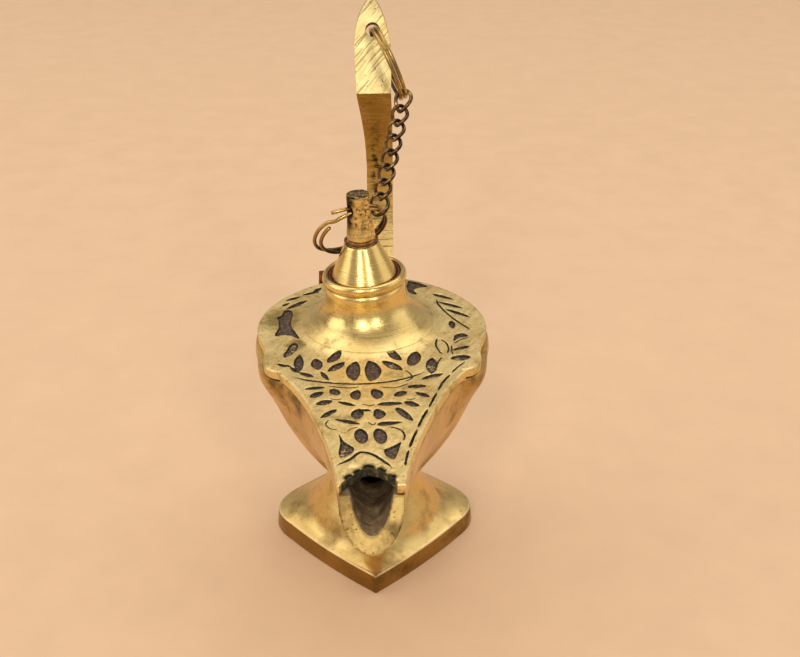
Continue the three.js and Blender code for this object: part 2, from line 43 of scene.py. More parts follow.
# Sizes in millimetres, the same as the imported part's
PLINTH_HEIGHT = 7.0
STEM_RADIUS = 15.0
BOWL_RADIUS = 37.6
BOWL_WIDEST = 76.0
SWELL_POWER = 1.6
BOWL_TOP = 79.7
BOWL_FLOOR = 32.5
LOBE_DEPTH = 0.05
DECK_UNDERSIDE = 80.0
DECK_TOP = 83.0
DECK_FRONT = -85.8
SPOUT_TIP_Y = -95.2
SPOUT_TIP_Z = 66.9
SPOUT_TIP_HALF_WIDTH = 8.8
SPOUT_WALL = 3.2
CHANNEL_FLOOR = 71.0
SPOUT_DRIFT = -0.7
KEEL_FOOT_Y = -20.0
KEEL_FOOT_Z = 29.5
MOUTH_ANGLE = math.radians(35)
NECK_X = -1.2
NECK_LEAN = math.radians(-3.5)
NECK_FOOT_RADIUS = 23.8
NECK_TOP_RADIUS = 12.6
NECK_FLARE_HEIGHT = 14.0
NECK_FLARE_POWER = 2.8
NECK_SKIRT = 21.2  # beyond this radius the deck's own surface carries the foot of the flare
NECK_BORE = 8.9
SEAT_HEIGHT = 17.2
CONE_TOP = 28.8
PIN_TOP = 45.0
PIN_HOLE_HEIGHT = 40.0
PIN_HOLE_AZIMUTH = math.radians(25.5)
RING_RADIUS = 11.5
RING_WIRE = 1.2
RING_PITCH = 1.35
RING_TURNS = 1.95
RING_BENT_SWEEP = 45  # degrees of the free end that are bent away
RING_PARTED_FROM = 215  # where the bent end starts to spread the turns apart
RING_PARTED_TO = 280
RING_PARTED_SHARE = 0.36
RING_LIFTED_SHARE = 0.3
LINK_WIRE = 1.2
LINK_PITCH = 4.8
END_LINK_EXTRA = 0.275
LINK_PLAY = 0.35
LINK_HALF_WIDTH = 2.4
END_LINK_HALF_WIDTH = 2.7
LINK_TWIST = 45
END_LINK_TWIST = 15
LINK_COUNT = 8
BLADE_HOLE = np.array([1.4, 34.0, 168.8])
BLADE_NOSE = np.array([25.6, 150.8])
BLADE_TIP = np.array([38.8, 176.8])
HANDLE_THICKNESS = 3.0

rng = np.random.default_rng(7)


# ---------------------------------------------------------------- curves and fields

def unit(v):
    v = np.asarray(v, float)
    return v / np.linalg.norm(v)


def smooth(x, low, high):
    t = np.clip((np.asarray(x, float) - low) / (high - low), 0, 1)
    return t * t * (3 - 2 * t)


def bell(x, centre, width):
    return np.exp(-(((x - centre) / width) ** 2) / 2)


def bezier(points, count):
    t = np.linspace(0, 1, count)[:, None]
    p = [np.asarray(q, float) for q in points]
    if len(p) == 3:
        return (1 - t) ** 2 * p[0] + 2 * t * (1 - t) * p[1] + t ** 2 * p[2]
    return ((1 - t) ** 3 * p[0] + 3 * t * (1 - t) ** 2 * p[1]
            + 3 * t ** 2 * (1 - t) * p[2] + t ** 3 * p[3])


def respaced(points, count, closed=False):
    """The same line with evenly spaced points."""
    p = np.asarray(points, float)
    if closed:
        p = np.vstack([p, p[:1]])
    run = np.concatenate([[0], np.cumsum(np.linalg.norm(np.diff(p, axis=0), axis=1))])
    at = np.linspace(0, run[-1], count, endpoint=not closed)
    return np.stack([np.interp(at, run, p[:, k]) for k in range(p.shape[1])], 1)


def through(points, steps):
    """A smooth line through the points (Catmull-Rom)."""
    p = np.asarray(points, float)
    p = np.vstack([2 * p[0] - p[1], p, 2 * p[-1] - p[-2]])
    out = []
    for i in range(1, len(p) - 2):
        t = np.linspace(0, 1, steps, endpoint=False)[:, None]
        a, b, c, d = p[i - 1], p[i], p[i + 1], p[i + 2]
        out.append(0.5 * (2 * b + (c - a) * t + (2 * a - 5 * b + 4 * c - d) * t ** 2
                          + (3 * b - a - 3 * c + d) * t ** 3))
    return np.vstack(out + [p[-2][None]])


def rounded(points, radius, closed=True, steps=4):
    """A polygon with its corners rounded off."""
    p = [np.asarray(q, float) for q in points]
    out = []
    for i, b in enumerate(p):
        if not closed and i in (0, len(p) - 1):
            out.append(b)
            continue
        a, c = p[i - 1], p[(i + 1) % len(p)]
        r = min(radius, 0.45 * np.linalg.norm(a - b), 0.45 * np.linalg.norm(c - b))
        start, end = b + unit(a - b) * r, b + unit(c - b) * r
        out.extend(bezier([start, b, end], steps + 1))
    return np.array(out)


def lattice(p, seed):
    """Smooth noise from -1 to 1 for an array of points."""
    p = np.asarray(p, float) + 1000.0
    cell = np.floor(p).astype(np.int64)
    f = p - cell
    f = f * f * (3 - 2 * f)
    total = 0.0
    for dx in (0, 1):
        for dy in (0, 1):
            for dz in (0, 1):
                h = ((cell[:, 0] + dx) * 73856093) ^ ((cell[:, 1] + dy) * 19349663) ^ (
                    (cell[:, 2] + dz) * 83492791) ^ (seed * 2654435761)
                h = (h ^ (h >> 13)) * 1274126177 & 0x7FFFFFFF
                h = (h ^ (h >> 16)) & 0xFFFF
                w = ((f[:, 0] if dx else 1 - f[:, 0]) * (f[:, 1] if dy else 1 - f[:, 1])
                     * (f[:, 2] if dz else 1 - f[:, 2]))
                total = total + w * (h / 32767.5 - 1)
    return total


def rough(p, size, seed, octaves=3):
    total, gain = 0.0, 1.0
    for k in range(octaves):
        total = total + gain * lattice(np.asarray(p) / size * 2 ** k, seed + k)
        gain *= 0.5
    return total / 1.75


def inside(points, polygon):
    """Which 2-D points lie inside the polygon."""
    x, y = np.asarray(points, float).T
    hit = np.zeros(len(x), bool)
    p = np.asarray(polygon, float)
    for (ax, ay), (bx, by) in zip(p, np.roll(p, -1, axis=0)):
        if ay == by:
            continue
        cross = ((ay > y) != (by > y)) & (x < (bx - ax) * (y - ay) / (by - ay) + ax)
        hit ^= cross
    return hit


def inset(polygon, distance):
    """A polygon moved inwards a little, with its points kept one to one. It runs anticlockwise."""
    p = np.asarray(polygon, float)
    before, after = p - np.roll(p, 1, axis=0), np.roll(p, -1, axis=0) - p
    n = np.stack([-(before + after)[:, 1], (before + after)[:, 0]], 1)
    return p + distance * n / np.maximum(np.linalg.norm(n, axis=1, keepdims=True), 1e-9)


# ---------------------------------------------------------------- meshes

def make(name, verts, faces, smooth_angle=32.0):
    mesh = bpy.data.meshes.new(name)
    mesh.from_pydata((np.asarray(verts, float) * MM).tolist(), [], [list(map(int, f)) for f in faces])
    mesh.validate()
    obj = bpy.data.objects.new(name, mesh)
    bpy.context.scene.collection.objects.link(obj)
    shade(obj, smooth_angle)
    return obj


def shade(obj, smooth_angle):
    mesh = obj.data
    mesh.polygons.foreach_set("use_smooth", [True] * len(mesh.polygons))
    mesh.set_sharp_from_angle(angle=math.radians(smooth_angle))
    mesh.update()


def lathe(profile, segments, closed=True):
    """Verts and faces of a profile of [radius, height] turned about Z; the outer side runs upwards."""
    profile = np.asarray(profile, float)
    verts, rows = [], []
    for r, z in profile:
        if r < 1e-6:
            rows.append([len(verts)])
            verts.append((0, 0, z))
        else:
            rows.append(list(range(len(verts), len(verts) + segments)))
            for k in range(segments):
                a = TAU * k / segments
                verts.append((r * math.cos(a), r * math.sin(a), z))
    faces = []
    pairs = list(zip(rows, rows[1:]))
    if closed:
        pairs.append((rows[-1], rows[0]))
    for low, high in pairs:
        if len(low) == 1 and len(high) == 1:
            continue
        for k in range(segments):
            j = (k + 1) % segments
            if len(low) == 1:
                faces.append((low[0], high[j], high[k]))
            elif len(high) == 1:
                faces.append((low[k], low[j], high[0]))
            else:
                faces.append((low[k], low[j], high[j], high[k]))
    return np.array(verts), faces


def loft(rings, loop=False):
    """Verts and faces of a skin through rings, each anticlockwise seen from ahead."""
    rings = np.asarray(rings, float)
    count, sides = rings.shape[:2]
    verts = rings.reshape(-1, 3)
    faces = []
    for i in range(count if loop else count - 1):
        a, b = i * sides, ((i + 1) % count) * sides
        for k in range(sides):
            j = (k + 1) % sides
            faces.append((a + k, a + j, b + j, b + k))
    if not loop:
        faces.append(tuple(range(sides))[::-1])
        faces.append(tuple(range((count - 1) * sides, count * sides)))
    return verts, faces


def tube(path, radius, sides, closed=False, ends=0.25):
    """A round wire along a path, with small bevels on open ends."""
    path = np.asarray(path, float)
    count = len(path)
    if closed:
        tangent = np.roll(path, -1, axis=0) - np.roll(path, 1, axis=0)
    else:
        tangent = np.gradient(path, axis=0)
    tangent /= np.linalg.norm(tangent, axis=1, keepdims=True)
    up = np.cross(tangent[0], [0.31, 0.17, 0.93])
    frames = []
    for i in range(count):
        up = up - (up @ tangent[i]) * tangent[i]
        up = unit(up)
        frames.append(up)
    frames = np.array(frames)
    turn = np.zeros(count)
    if closed:
        last = unit(frames[-1] - (frames[-1] @ tangent[0]) * tangent[0])
        across = np.cross(tangent[0], frames[0])
        slip = math.atan2(last @ across, last @ frames[0])
        turn = -slip * np.arange(count) / count
    rings = []
    for i in range(count):
        side = np.cross(tangent[i], frames[i])
        a = np.linspace(0, TAU, sides, endpoint=False) + turn[i]
        rings.append(path[i] + radius * (np.cos(a)[:, None] * frames[i] + np.sin(a)[:, None] * side))
    if not closed:
        for end, inner, outward in ((0, 1, -tangent[0]), (-1, -2, tangent[-1])):
            rings[inner] = rings[end] - outward * radius * ends
            rings[end] = path[end] + (rings[end] - path[end]) * (1 - ends)
    return loft(rings, loop=closed)


def evaluated(obj):
    """Applies an object's modifiers."""
    dg = bpy.context.evaluated_depsgraph_get()
    mesh = bpy.data.meshes.new_from_object(obj.evaluated_get(dg))
    obj.modifiers.clear()
    old = obj.data
    obj.data = mesh
    bpy.data.meshes.remove(old)
    return obj


def boolean(obj, others, operation):
    for other in others:
        m = obj.modifiers.new("cut", "BOOLEAN")
        m.operation, m.solver, m.object = operation, "EXACT", other
        bpy.context.view_layer.update()
        evaluated(obj)
        bpy.data.objects.remove(other)
    return obj


def bevelled(obj, width, segments=3, angle=35.0):
    m = obj.modifiers.new("edge", "BEVEL")
    m.width, m.segments, m.limit_method = width * MM, segments, "ANGLE"
    m.angle_limit = math.radians(angle)
    return evaluated(obj)


def bar(start, end, radius, sides=40):
    """A plain rod, used to cut holes."""
    start, end = np.asarray(start, float), np.asarray(end, float)
    along = unit(end - start)
    u = unit(np.cross(along, [0.2, 0.9, 0.4]))
    v = np.cross(along, u)
    a = np.linspace(0, TAU, sides, endpoint=False)
    ring = radius * (np.cos(a)[:, None] * u + np.sin(a)[:, None] * v)
    verts, faces = loft([start + ring, end + ring])
    return make("rod", verts, faces)


def moved(verts, matrix):
    """Verts in millimetres through a 4x4 matrix."""
    m = np.array(matrix)
    return np.asarray(verts) @ m[:3, :3].T + m[:3, 3]


def coordinates(obj):
    co = np.zeros(len(obj.data.vertices) * 3)
    obj.data.vertices.foreach_get("co", co)
    return co.reshape(-1, 3) / MM


def set_coordinates(obj, co):
    obj.data.vertices.foreach_set("co", (np.asarray(co) * MM).astype(np.float32).ravel())
    obj.data.update()


def face_data(obj):
    n = len(obj.data.polygons)
    c, m = np.zeros(n * 3), np.zeros(n * 3)
    obj.data.polygons.foreach_get("center", c)
    obj.data.polygons.foreach_get("normal", m)
    return c.reshape(-1, 3) / MM, m.reshape(-1, 3)


def finish_piece(obj, body, nodes, materials, index=None):
    obj.data.materials.clear()
    for m in materials:
        obj.data.materials.append(m)
    if index is not None:
        obj.data.polygons.foreach_set("material_index", np.asarray(index, np.int32))
    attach(obj, body)
    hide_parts(*nodes)
    return obj


# ---------------------------------------------------------------- materials

class Nodes:
    """Short names for the shader nodes that the metals use."""

    def __init__(self, name):
        self.material = bpy.data.materials.new(name)
        self.material.use_nodes = True
        self.tree = self.material.node_tree
        self.shader = self.tree.nodes["Principled BSDF"]
        self.place = self.tree.nodes.new("ShaderNodeTexCoord").outputs["Object"]

    def add(self, kind, inputs=(), **settings):
        """A node with its settings, and each input set to a number or colour or linked to a socket."""
        node = self.tree.nodes.new(kind)
        for key, value in settings.items():
            setattr(node, key, value)
        for key, value in dict(inputs).items():
            if isinstance(value, bpy.types.NodeSocket):
                self.tree.links.new(value, node.inputs[key])
            else:
                node.inputs[key].default_value = value
        return node

    def stretch(self, scale, turn=(0, 0, 0)):
        """Object coordinates turned, then scaled: the smallest number is the way that streaks run."""
        turned = self.add("ShaderNodeMapping", {"Rotation": turn, "Vector": self.place}).outputs["Vector"]
        return self.add("ShaderNodeMapping", {"Scale": scale, "Vector": turned}).outputs["Vector"]

    def noise(self, scale, detail=4.0, roughness=0.55, where=None):
        inputs = {"Scale": scale, "Detail": detail, "Roughness": roughness, "Vector": where or self.place}
        return self.add("ShaderNodeTexNoise", inputs).outputs["Fac"]

    def streaks(self, detail, roughness, scale, turn=(0, 0, 0)):
        return self.noise(1.0, detail, roughness, self.stretch(scale, turn))

    def ramp(self, value, *stops):
        node = self.add("ShaderNodeValToRGB", {"Fac": value})
        while len(node.color_ramp.elements) < len(stops):
            node.color_ramp.elements.new(0.5)
        for element, (at, colour) in zip(node.color_ramp.elements, stops):
            element.position = at
            element.color = (*colour, 1)
        return node.outputs["Color"]

    def levels(self, value, low, high, to_low=0.0, to_high=1.0):
        inputs = {"Value": value, "From Min": low, "From Max": high, "To Min": to_low, "To Max": to_high}
        return self.add("ShaderNodeMapRange", inputs, clamp=True).outputs["Result"]

    def math(self, operation, first, *others):
        for other in others:
            first = self.add("ShaderNodeMath", {0: first, 1: other}, operation=operation).outputs["Value"]
        return first

    def times(self, *values):
        return self.math("MULTIPLY", *values)

    def plus(self, *values):
        return self.math("ADD", *values)

    def most(self, *values):
        return self.math("MAXIMUM", *values)

    def mix(self, share, a, b):
        a, b = ((*v, 1) if isinstance(v, tuple) else v for v in (a, b))
        return self.add("ShaderNodeMix", {0: share, 6: a, 7: b}, data_type="RGBA").outputs[2]

    def axes(self):
        return self.add("ShaderNodeSeparateXYZ", {"Vector": self.place}).outputs

    def bump(self, *heights):
        """Stacks heights, each with its strength and depth in metres."""
        inputs = {}
        for height, strength, depth in heights:
            inputs.update(Strength=strength, Distance=depth, Height=height)
            inputs["Normal"] = self.add("ShaderNodeBump", inputs).outputs["Normal"]
        self.tree.links.new(inputs["Normal"], self.shader.inputs["Normal"])

    def colour(self, socket):
        self.tree.links.new(socket, self.shader.inputs["Base Color"])

    def roughness(self, socket):
        self.tree.links.new(socket, self.shader.inputs["Roughness"])

    def metallic(self, socket):
        self.tree.links.new(socket, self.shader.inputs["Metallic"])

    def done(self, metallic=1.0):
        self.shader.inputs["Metallic"].default_value = metallic
        return self.material


def brass(name, pale, deep, dark, scratch_scale, scratch_turn=(0, 0, 0), shine=(0.22, 0.42),
          grime=0.5, pits=0.15, scratch=0.35, spout=None):
    """Hand-worked brass: slow colour drift, brushed scratches one way, grime and small pits. On the bowl it
    runs into the spout's own pale and deep colours."""
    n = Nodes(name)
    drift = n.noise(38, 3)
    fine = n.streaks(5, 0.65, scratch_scale, scratch_turn)
    blotch = n.noise(95, 6, 0.6)
    pit = n.noise(900, 3, 0.7)
    base = n.ramp(drift, (0.32, deep), (0.62, pale))
    if spout:
        out = n.levels(n.plus(n.axes()[1], n.times(blotch, 0.03)), -0.022, -0.045)
        base = n.mix(out, base, n.ramp(drift, (0.32, spout[1]), (0.62, spout[0])))
    base = n.mix(n.levels(fine, 0.35, 0.75, 0.0, 0.5 if not spout else 0.3), base, pale)
    soil = n.levels(blotch, 0.52, 0.68, 0.0, grime)
    base = n.mix(soil, base, dark)
    edge = 0.66 - 0.12 * pits
    specks = n.levels(pit, edge, edge + 0.08, 0.0, min(pits * 3, 1.0))
    base = n.mix(specks, base, dark)
    n.colour(base)
    rough_scratch = n.levels(fine, 0.3, 0.75, shine[0], shine[1])
    n.roughness(n.plus(rough_scratch, n.times(soil, 0.25)))
    n.bump((fine, min(scratch, 1.0), 0.00014 * max(scratch, 1.0)), (blotch, 0.4, 0.0003),
           (specks, 0.4, -0.00012))
    return n.done()


DARK = (0.10, 0.055, 0.015)

pedestal_brass = brass("pedestal_brass", (0.80, 0.57, 0.22), (0.60, 0.39, 0.12), DARK, (260, 260, 900),
                       shine=(0.26, 0.44), grime=0.5, pits=0.2)
# darker copy of the brass for the plinth's side faces: partly olive-brown patina, partly painted shade
plinth_brass = brass("plinth_brass", (0.42, 0.25, 0.060), (0.26, 0.14, 0.030), DARK, (160, 160, 1500),
                     shine=(0.28, 0.42), grime=0.6, pits=0.25, scratch=0.4)
bowl_brass = brass("bowl_brass", (0.70, 0.47, 0.16), (0.44, 0.26, 0.07), DARK, (800, 800, 90),
                   shine=(0.30, 0.46), grime=0.75, pits=0.2, spout=((0.76, 0.54, 0.25), (0.58, 0.39, 0.15)))
neck_brass = brass("neck_brass", (0.84, 0.60, 0.21), (0.62, 0.41, 0.115), DARK, (60, 60, 2200),
                   shine=(0.20, 0.32), grime=0.45, pits=0.12, scratch=0.3)
lid_brass = brass("lid_brass", (0.84, 0.61, 0.22), (0.62, 0.40, 0.115), DARK, (60, 60, 2400),
                  shine=(0.19, 0.31), grime=0.35, pits=0.1, scratch=0.3)
lip_brass = brass("lip_brass", (0.54, 0.37, 0.13), (0.38, 0.24, 0.075), (0.09, 0.055, 0.02), (900, 900, 160),
                  shine=(0.44, 0.60), grime=0.6, pits=0.4, scratch=0.6)
# paler brass for the plinth's rim and corner lines: painted highlight
rim_highlight_brass = brass("rim_highlight_brass", (0.88, 0.70, 0.38), (0.66, 0.48, 0.20), DARK, (500, 500, 500),
                   shine=(0.40, 0.55), grime=0.3, pits=0.1)
ring_brass = brass("ring_brass", (0.56, 0.35, 0.10), (0.26, 0.15, 0.045), (0.025, 0.014, 0.008),
                   (900, 900, 900),
                   shine=(0.18, 0.34), grime=0.75, pits=0.2, scratch=0.3)


def near(n, x, y, reach):
    """1 near a point of the plan, fading to 0, with a ragged edge."""
    axes = n.axes()
    dx = n.math("DIVIDE", n.math("SUBTRACT", axes[0], x * MM), reach * MM)
    dy = n.math("DIVIDE", n.math("SUBTRACT", axes[1], y * MM), reach * MM)
    far = n.math("POWER", n.plus(n.times(dx, dx), n.times(dy, dy)), 0.5)
    ragged = n.plus(far, n.times(n.noise(420, 5, 0.65), 1.1))
    return n.levels(ragged, 1.75, 1.2)


def pin_material():
    """Turned brass with fine rings and pits, blackened at the mouth of the hole on the left."""
    n = Nodes("pin_brass")
    turned, blotch, pit = n.streaks(4, 0.65, (80, 80, 1500)), n.noise(330, 5, 0.65), n.noise(1000, 3, 0.7)
    base = n.mix(n.levels(turned, 0.38, 0.62), (0.62, 0.42, 0.13), (0.90, 0.68, 0.28))
    axes = n.axes()
    side = n.levels(n.plus(axes[0], n.times(blotch, 0.004)), -0.0026, -0.0044)
    height = n.levels(axes[2], 0.113, 0.119)
    stain = n.times(side, height)
    pitted = n.times(n.levels(pit, 0.53, 0.60), n.levels(axes[2], 0.113, 0.120, 0.08, 0.9))
    soil = n.most(stain, n.times(n.levels(blotch, 0.54, 0.66), n.levels(axes[2], 0.112, 0.120, 0.05, 0.7)))
    base = n.mix(soil, base, (0.045, 0.022, 0.010))
    base = n.mix(pitted, base, (0.05, 0.025, 0.010))
    n.colour(base)
    n.roughness(n.plus(n.levels(turned, 0.3, 0.7, 0.24, 0.38), n.times(soil, 0.2)))
    n.bump((turned, 0.5, 0.00014), (pit, 0.5, 0.0002), (blotch, 0.5, 0.0004))
    return n.done()


def pin_top_material():
    """The pin's sawn end: brass ridges with black between them."""
    n = Nodes("pin_top")
    sawn, grain = n.streaks(4, 0.7, (420, 1500, 900), (0, 0, 0.6)), n.noise(1300, 3, 0.7)
    both = n.plus(n.times(sawn, 0.6), n.times(grain, 0.4))
    n.colour(n.ramp(both, (0.44, (0.020, 0.012, 0.006)), (0.52, (0.17, 0.11, 0.04)),
                    (0.60, (0.60, 0.45, 0.20))))
    n.roughness(n.levels(grain, 0.3, 0.7, 0.40, 0.62))
    n.bump((both, 1.0, 0.0005))
    return n.done()


def bar_material():
    """The strap below its blade: smooth near the top and darker brown there, the darkening being painted
    reflection of the dark floor in a face turned downwards; paler and scored across lower down, with black
    scorch marks where the chain rubs."""
    n = Nodes("bar_brass")
    scored = n.streaks(4, 0.7, (90, 90, 2400), (0, 0.05, 0))
    brushed = n.streaks(5, 0.65, (120, 120, 900))
    blotch, fine = n.noise(300, 5, 0.65), n.noise(1100, 3, 0.7)
    axes = n.axes()
    # high: the bar darkens towards its top, painted reflection of the dark floor in the face that turns
    # downwards there
    high = n.levels(n.plus(axes[2], n.times(blotch, 0.012)), 0.112, 0.140)
    base = n.mix(high, (0.74, 0.55, 0.22), (0.52, 0.31, 0.08))
    base = n.mix(n.levels(brushed, 0.42, 0.62, 0.0, 0.6), base, (0.78, 0.58, 0.24))
    # more of the painted dark reflection near the top
    base = n.mix(n.times(high, 0.45), base, (0.36, 0.20, 0.05))
    lines = n.times(n.levels(scored, 0.47, 0.38), n.levels(axes[2], 0.132, 0.112, 0.25, 0.85))
    base = n.mix(lines, base, (0.16, 0.10, 0.035))
    strip = n.times(n.levels(axes[0], -0.0002, 0.0012), n.levels(axes[0], 0.0042, 0.0030))
    reach = n.times(n.levels(axes[2], 0.106, 0.114), n.levels(axes[2], 0.142, 0.132))
    scorch = n.times(strip, reach, n.levels(blotch, 0.46, 0.56))
    scorch = n.times(scorch, n.levels(scored, 0.60, 0.48, 0.15, 1.0))
    base = n.mix(scorch, base, (0.030, 0.020, 0.010))
    base = n.mix(n.levels(fine, 0.58, 0.68, 0.0, 0.7), base, (0.09, 0.055, 0.02))
    n.colour(base)
    n.roughness(n.plus(n.levels(brushed, 0.3, 0.7, 0.28, 0.46), n.times(scorch, 0.25)))
    n.bump((scored, 0.7, 0.0002), (brushed, 0.5, 0.00015), (blotch, 0.4, 0.0003))
    return n.done()


def blade_material():
    """Bright brass with coarse file marks that rise to the right, dark in their grooves, and a few pits."""
    n = Nodes("blade_brass")
    tilt = math.atan2(*(BLADE_TIP - BLADE_NOSE))  # brings the blade upright, so the marks run along its face
    coarse = n.streaks(3, 0.6, (1500, 1500, 70), (tilt, -0.72, 0))
    fine = n.streaks(4, 0.7, (2600, 2600, 90), (tilt, -0.62, 0))
    blotch, pit = n.noise(170, 5, 0.6), n.noise(800, 3, 0.7)
    base = n.mix(n.levels(blotch, 0.40, 0.60), (0.60, 0.43, 0.14), (0.80, 0.62, 0.25))
    base = n.mix(n.levels(fine, 0.42, 0.62, 0.0, 0.7), base, (0.94, 0.80, 0.44))
    base = n.mix(n.levels(coarse, 0.47, 0.38, 0.0, 0.7), base, (0.24, 0.16, 0.045))
    base = n.mix(n.levels(pit, 0.62, 0.70, 0.0, 0.8), base, (0.10, 0.06, 0.02))
    n.colour(base)
    n.roughness(n.levels(fine, 0.3, 0.7, 0.34, 0.56))
    n.bump((coarse, 0.9, 0.0003), (fine, 0.6, 0.00012), (blotch, 0.3, 0.0003))
    return n.done()


def deck_material():
    """Filed plate: pale and scratched, tarnished on the lobes and burnt round the broken edge over the mouth.
    It runs into the turned brass of the neck at the foot of the flare."""
    n = Nodes("deck_brass")
    drift, blotch = n.noise(60, 4), n.noise(150, 6, 0.65)
    filed = n.streaks(6, 0.7, (900, 110, 900), (0, 0, 0.5))
    crossed = n.streaks(5, 0.7, (140, 1000, 900), (0, 0, -0.35))
    turned = n.streaks(5, 0.65, (60, 60, 2200))
    pit = n.noise(1100, 3, 0.7)
    base = n.ramp(drift, (0.34, (0.70, 0.49, 0.17)), (0.62, (0.88, 0.67, 0.29)))
    base = n.mix(n.levels(filed, 0.4, 0.7, 0.0, 0.6), base, (0.96, 0.79, 0.41))
    soil = n.levels(blotch, 0.52, 0.68, 0.0, 0.7)
    base = n.mix(soil, base, (0.30, 0.20, 0.06))
    lobes = [near(n, -28.0, 3.0, 9.0), near(n, -12.0, 27.0, 6.0), near(n, 12.0, 30.0, 7.0),
             near(n, -24.0, -14.0, 3.5)]
    green = lobes[0]
    for other in lobes[1:]:
        green = n.most(green, other)
    base = n.mix(n.times(green, 0.55), base, (0.15, 0.12, 0.045))
    base = n.mix(n.levels(pit, 0.60, 0.70, 0.0, 0.8), base, (0.08, 0.05, 0.02))
    burnt = near(n, -1.4, -78.4, 2.0)
    for x, y in ((-6.6, -82.2), (-4.2, -80.0), (1.8, -79.4), (4.4, -82.4)):
        burnt = n.most(burnt, near(n, x, y, 1.6))
    base = n.mix(burnt, base, (0.030, 0.026, 0.012))
    axes = n.axes()
    dx = n.math("SUBTRACT", axes[0], NECK_X * MM)
    far = n.math("POWER", n.plus(n.times(dx, dx), n.times(axes[1], axes[1])), 0.5)
    polished = n.levels(n.plus(far, n.times(blotch, 0.006)), 0.0275, 0.0195)
    metal = n.ramp(drift, (0.34, (0.60, 0.40, 0.115)), (0.62, (0.84, 0.61, 0.22)))
    metal = n.mix(n.levels(turned, 0.4, 0.65, 0.0, 0.45), metal, (0.88, 0.68, 0.30))
    metal = n.mix(n.levels(blotch, 0.56, 0.70, 0.0, 0.6), metal, (0.22, 0.12, 0.03))
    metal = n.mix(n.levels(pit, 0.66, 0.74, 0.0, 0.6), metal, (0.12, 0.06, 0.02))
    n.colour(n.mix(polished, base, metal))
    dull = n.most(n.times(soil, 0.3), n.times(n.most(green, burnt), 0.45))
    matt = n.plus(n.levels(filed, 0.3, 0.7, 0.36, 0.52), dull)
    sheen = n.levels(turned, 0.3, 0.7, 0.20, 0.34)
    n.roughness(n.plus(n.times(sheen, polished),
                       n.times(matt, n.math("SUBTRACT", 1.0, polished))))
    plain = n.math("SUBTRACT", 1.0, polished)
    n.bump((n.times(filed, plain), 0.6, 0.00012), (n.times(crossed, plain), 0.4, 0.0001),
            (n.times(turned, polished), 0.35, 0.00012), (blotch, 0.4, 0.0004), (burnt, 0.5, 0.0004))
    return n.done()


blade_brass = blade_material()
bar_brass = bar_material()
pin_brass = pin_material()
pin_top = pin_top_material()
deck_brass = deck_material()


def recess_material(name, speckle):
    """The etched floor of the engraving: dark, grainy, with brass specks left standing."""
    n = Nodes(name)
    grain = n.noise(1500, 4, 0.65)
    cloud = n.noise(240, 4, 0.6)
    base = n.ramp(grain, (0.34, (0.020, 0.011, 0.006)), (0.55, (0.100, 0.058, 0.034)),
                  (0.72, (0.26, 0.165, 0.095)))
    bright = n.levels(n.plus(n.times(grain, 0.6), n.times(cloud, 0.4)),
                      speckle, speckle + 0.05)
    n.colour(n.mix(bright, base, (0.62, 0.45, 0.20)))
    n.metallic(bright)
    n.roughness(n.levels(grain, 0.3, 0.7, 0.75, 0.5))
    n.shader.inputs["Specular IOR Level"].default_value = 0.3
    n.bump((grain, 0.9, 0.0003), (cloud, 0.5, 0.0004))
    return n.material


recess_dark = recess_material("recess_dark", 0.60)
recess_speckled = recess_material("recess_speckled", 0.52)
recess_grey = recess_material("recess_grey", 0.66)


def outline_material():
    """The steep wall of each cut, nearly black with dirt."""
    n = Nodes("recess_wall")
    grain = n.noise(900, 4, 0.65)
    n.colour(n.ramp(grain, (0.40, (0.010, 0.007, 0.004)), (0.62, (0.055, 0.038, 0.018)),
                    (0.76, (0.30, 0.21, 0.09))))
    n.roughness(n.levels(grain, 0.3, 0.7, 0.8, 0.55))
    n.shader.inputs["Specular IOR Level"].default_value = 0.25
    n.bump((grain, 0.6, 0.0002))
    return n.material


recess_wall = outline_material()


def soot_material():
    """Inside of the spout and bowl: a brown film of burnt oil with brass showing through in places."""
    n = Nodes("soot")
    cloud = n.noise(260, 5, 0.6)
    grain = n.noise(1300, 3, 0.6)
    base = n.ramp(cloud, (0.35, (0.085, 0.052, 0.024)), (0.55, (0.20, 0.125, 0.055)),
                  (0.72, (0.42, 0.28, 0.13)))
    n.colour(base)
    n.roughness(n.levels(grain, 0.3, 0.7, 0.45, 0.75))
    n.bump((grain, 0.6, 0.0002), (cloud, 0.8, 0.0014))
    return n.done(0.1)


def burnt_material():
    """Black-green crust on the broken wall over the mouth."""
    n = Nodes("burnt_crust")
    cloud = n.noise(520, 5, 0.65)
    base = n.ramp(cloud, (0.36, (0.016, 0.013, 0.008)), (0.58, (0.075, 0.060, 0.026)),
                  (0.74, (0.42, 0.32, 0.12)))
    n.colour(base)
    n.roughness(n.levels(cloud, 0.3, 0.7, 0.8, 0.45))
    n.bump((cloud, 1.0, 0.0005))
    return n.done(0.35)


soot = soot_material()
burnt_crust = burnt_material()


def wire_material(name, stops, sheen, relief=0.35):
    """Blackened wire, worn towards brass where it is handled; the brighter copy put on the chain's lit faces
    is painted highlight.
    """
    n = Nodes(name)
    wear = n.noise(420, 5, 0.6)
    n.colour(n.ramp(wear, *stops))
    n.roughness(n.levels(wear, 0.3, 0.7, *sheen))
    n.bump((n.noise(1600, 4, 0.6), relief, 0.0001))
    return n.done()


chain_metal = wire_material(
    "chain_metal", ((0.36, (0.020, 0.012, 0.009)), (0.54, (0.060, 0.034, 0.020)), (0.74, (0.26, 0.15, 0.06))),
    (0.34, 0.24))
# a brighter copy of the wire for the chain faces turned to the light: painted highlight
highlight_wire = wire_material(
    "highlight_wire", ((0.36, (0.075, 0.042, 0.020)), (0.55, (0.24, 0.145, 0.055)), (0.74, (0.60, 0.41, 0.15))),
    (0.34, 0.22))
ring_dark = wire_material(
    "ring_dark", ((0.36, (0.035, 0.020, 0.012)), (0.55, (0.13, 0.07, 0.028)), (0.72, (0.36, 0.22, 0.08))),
    (0.36, 0.24), relief=0.3)


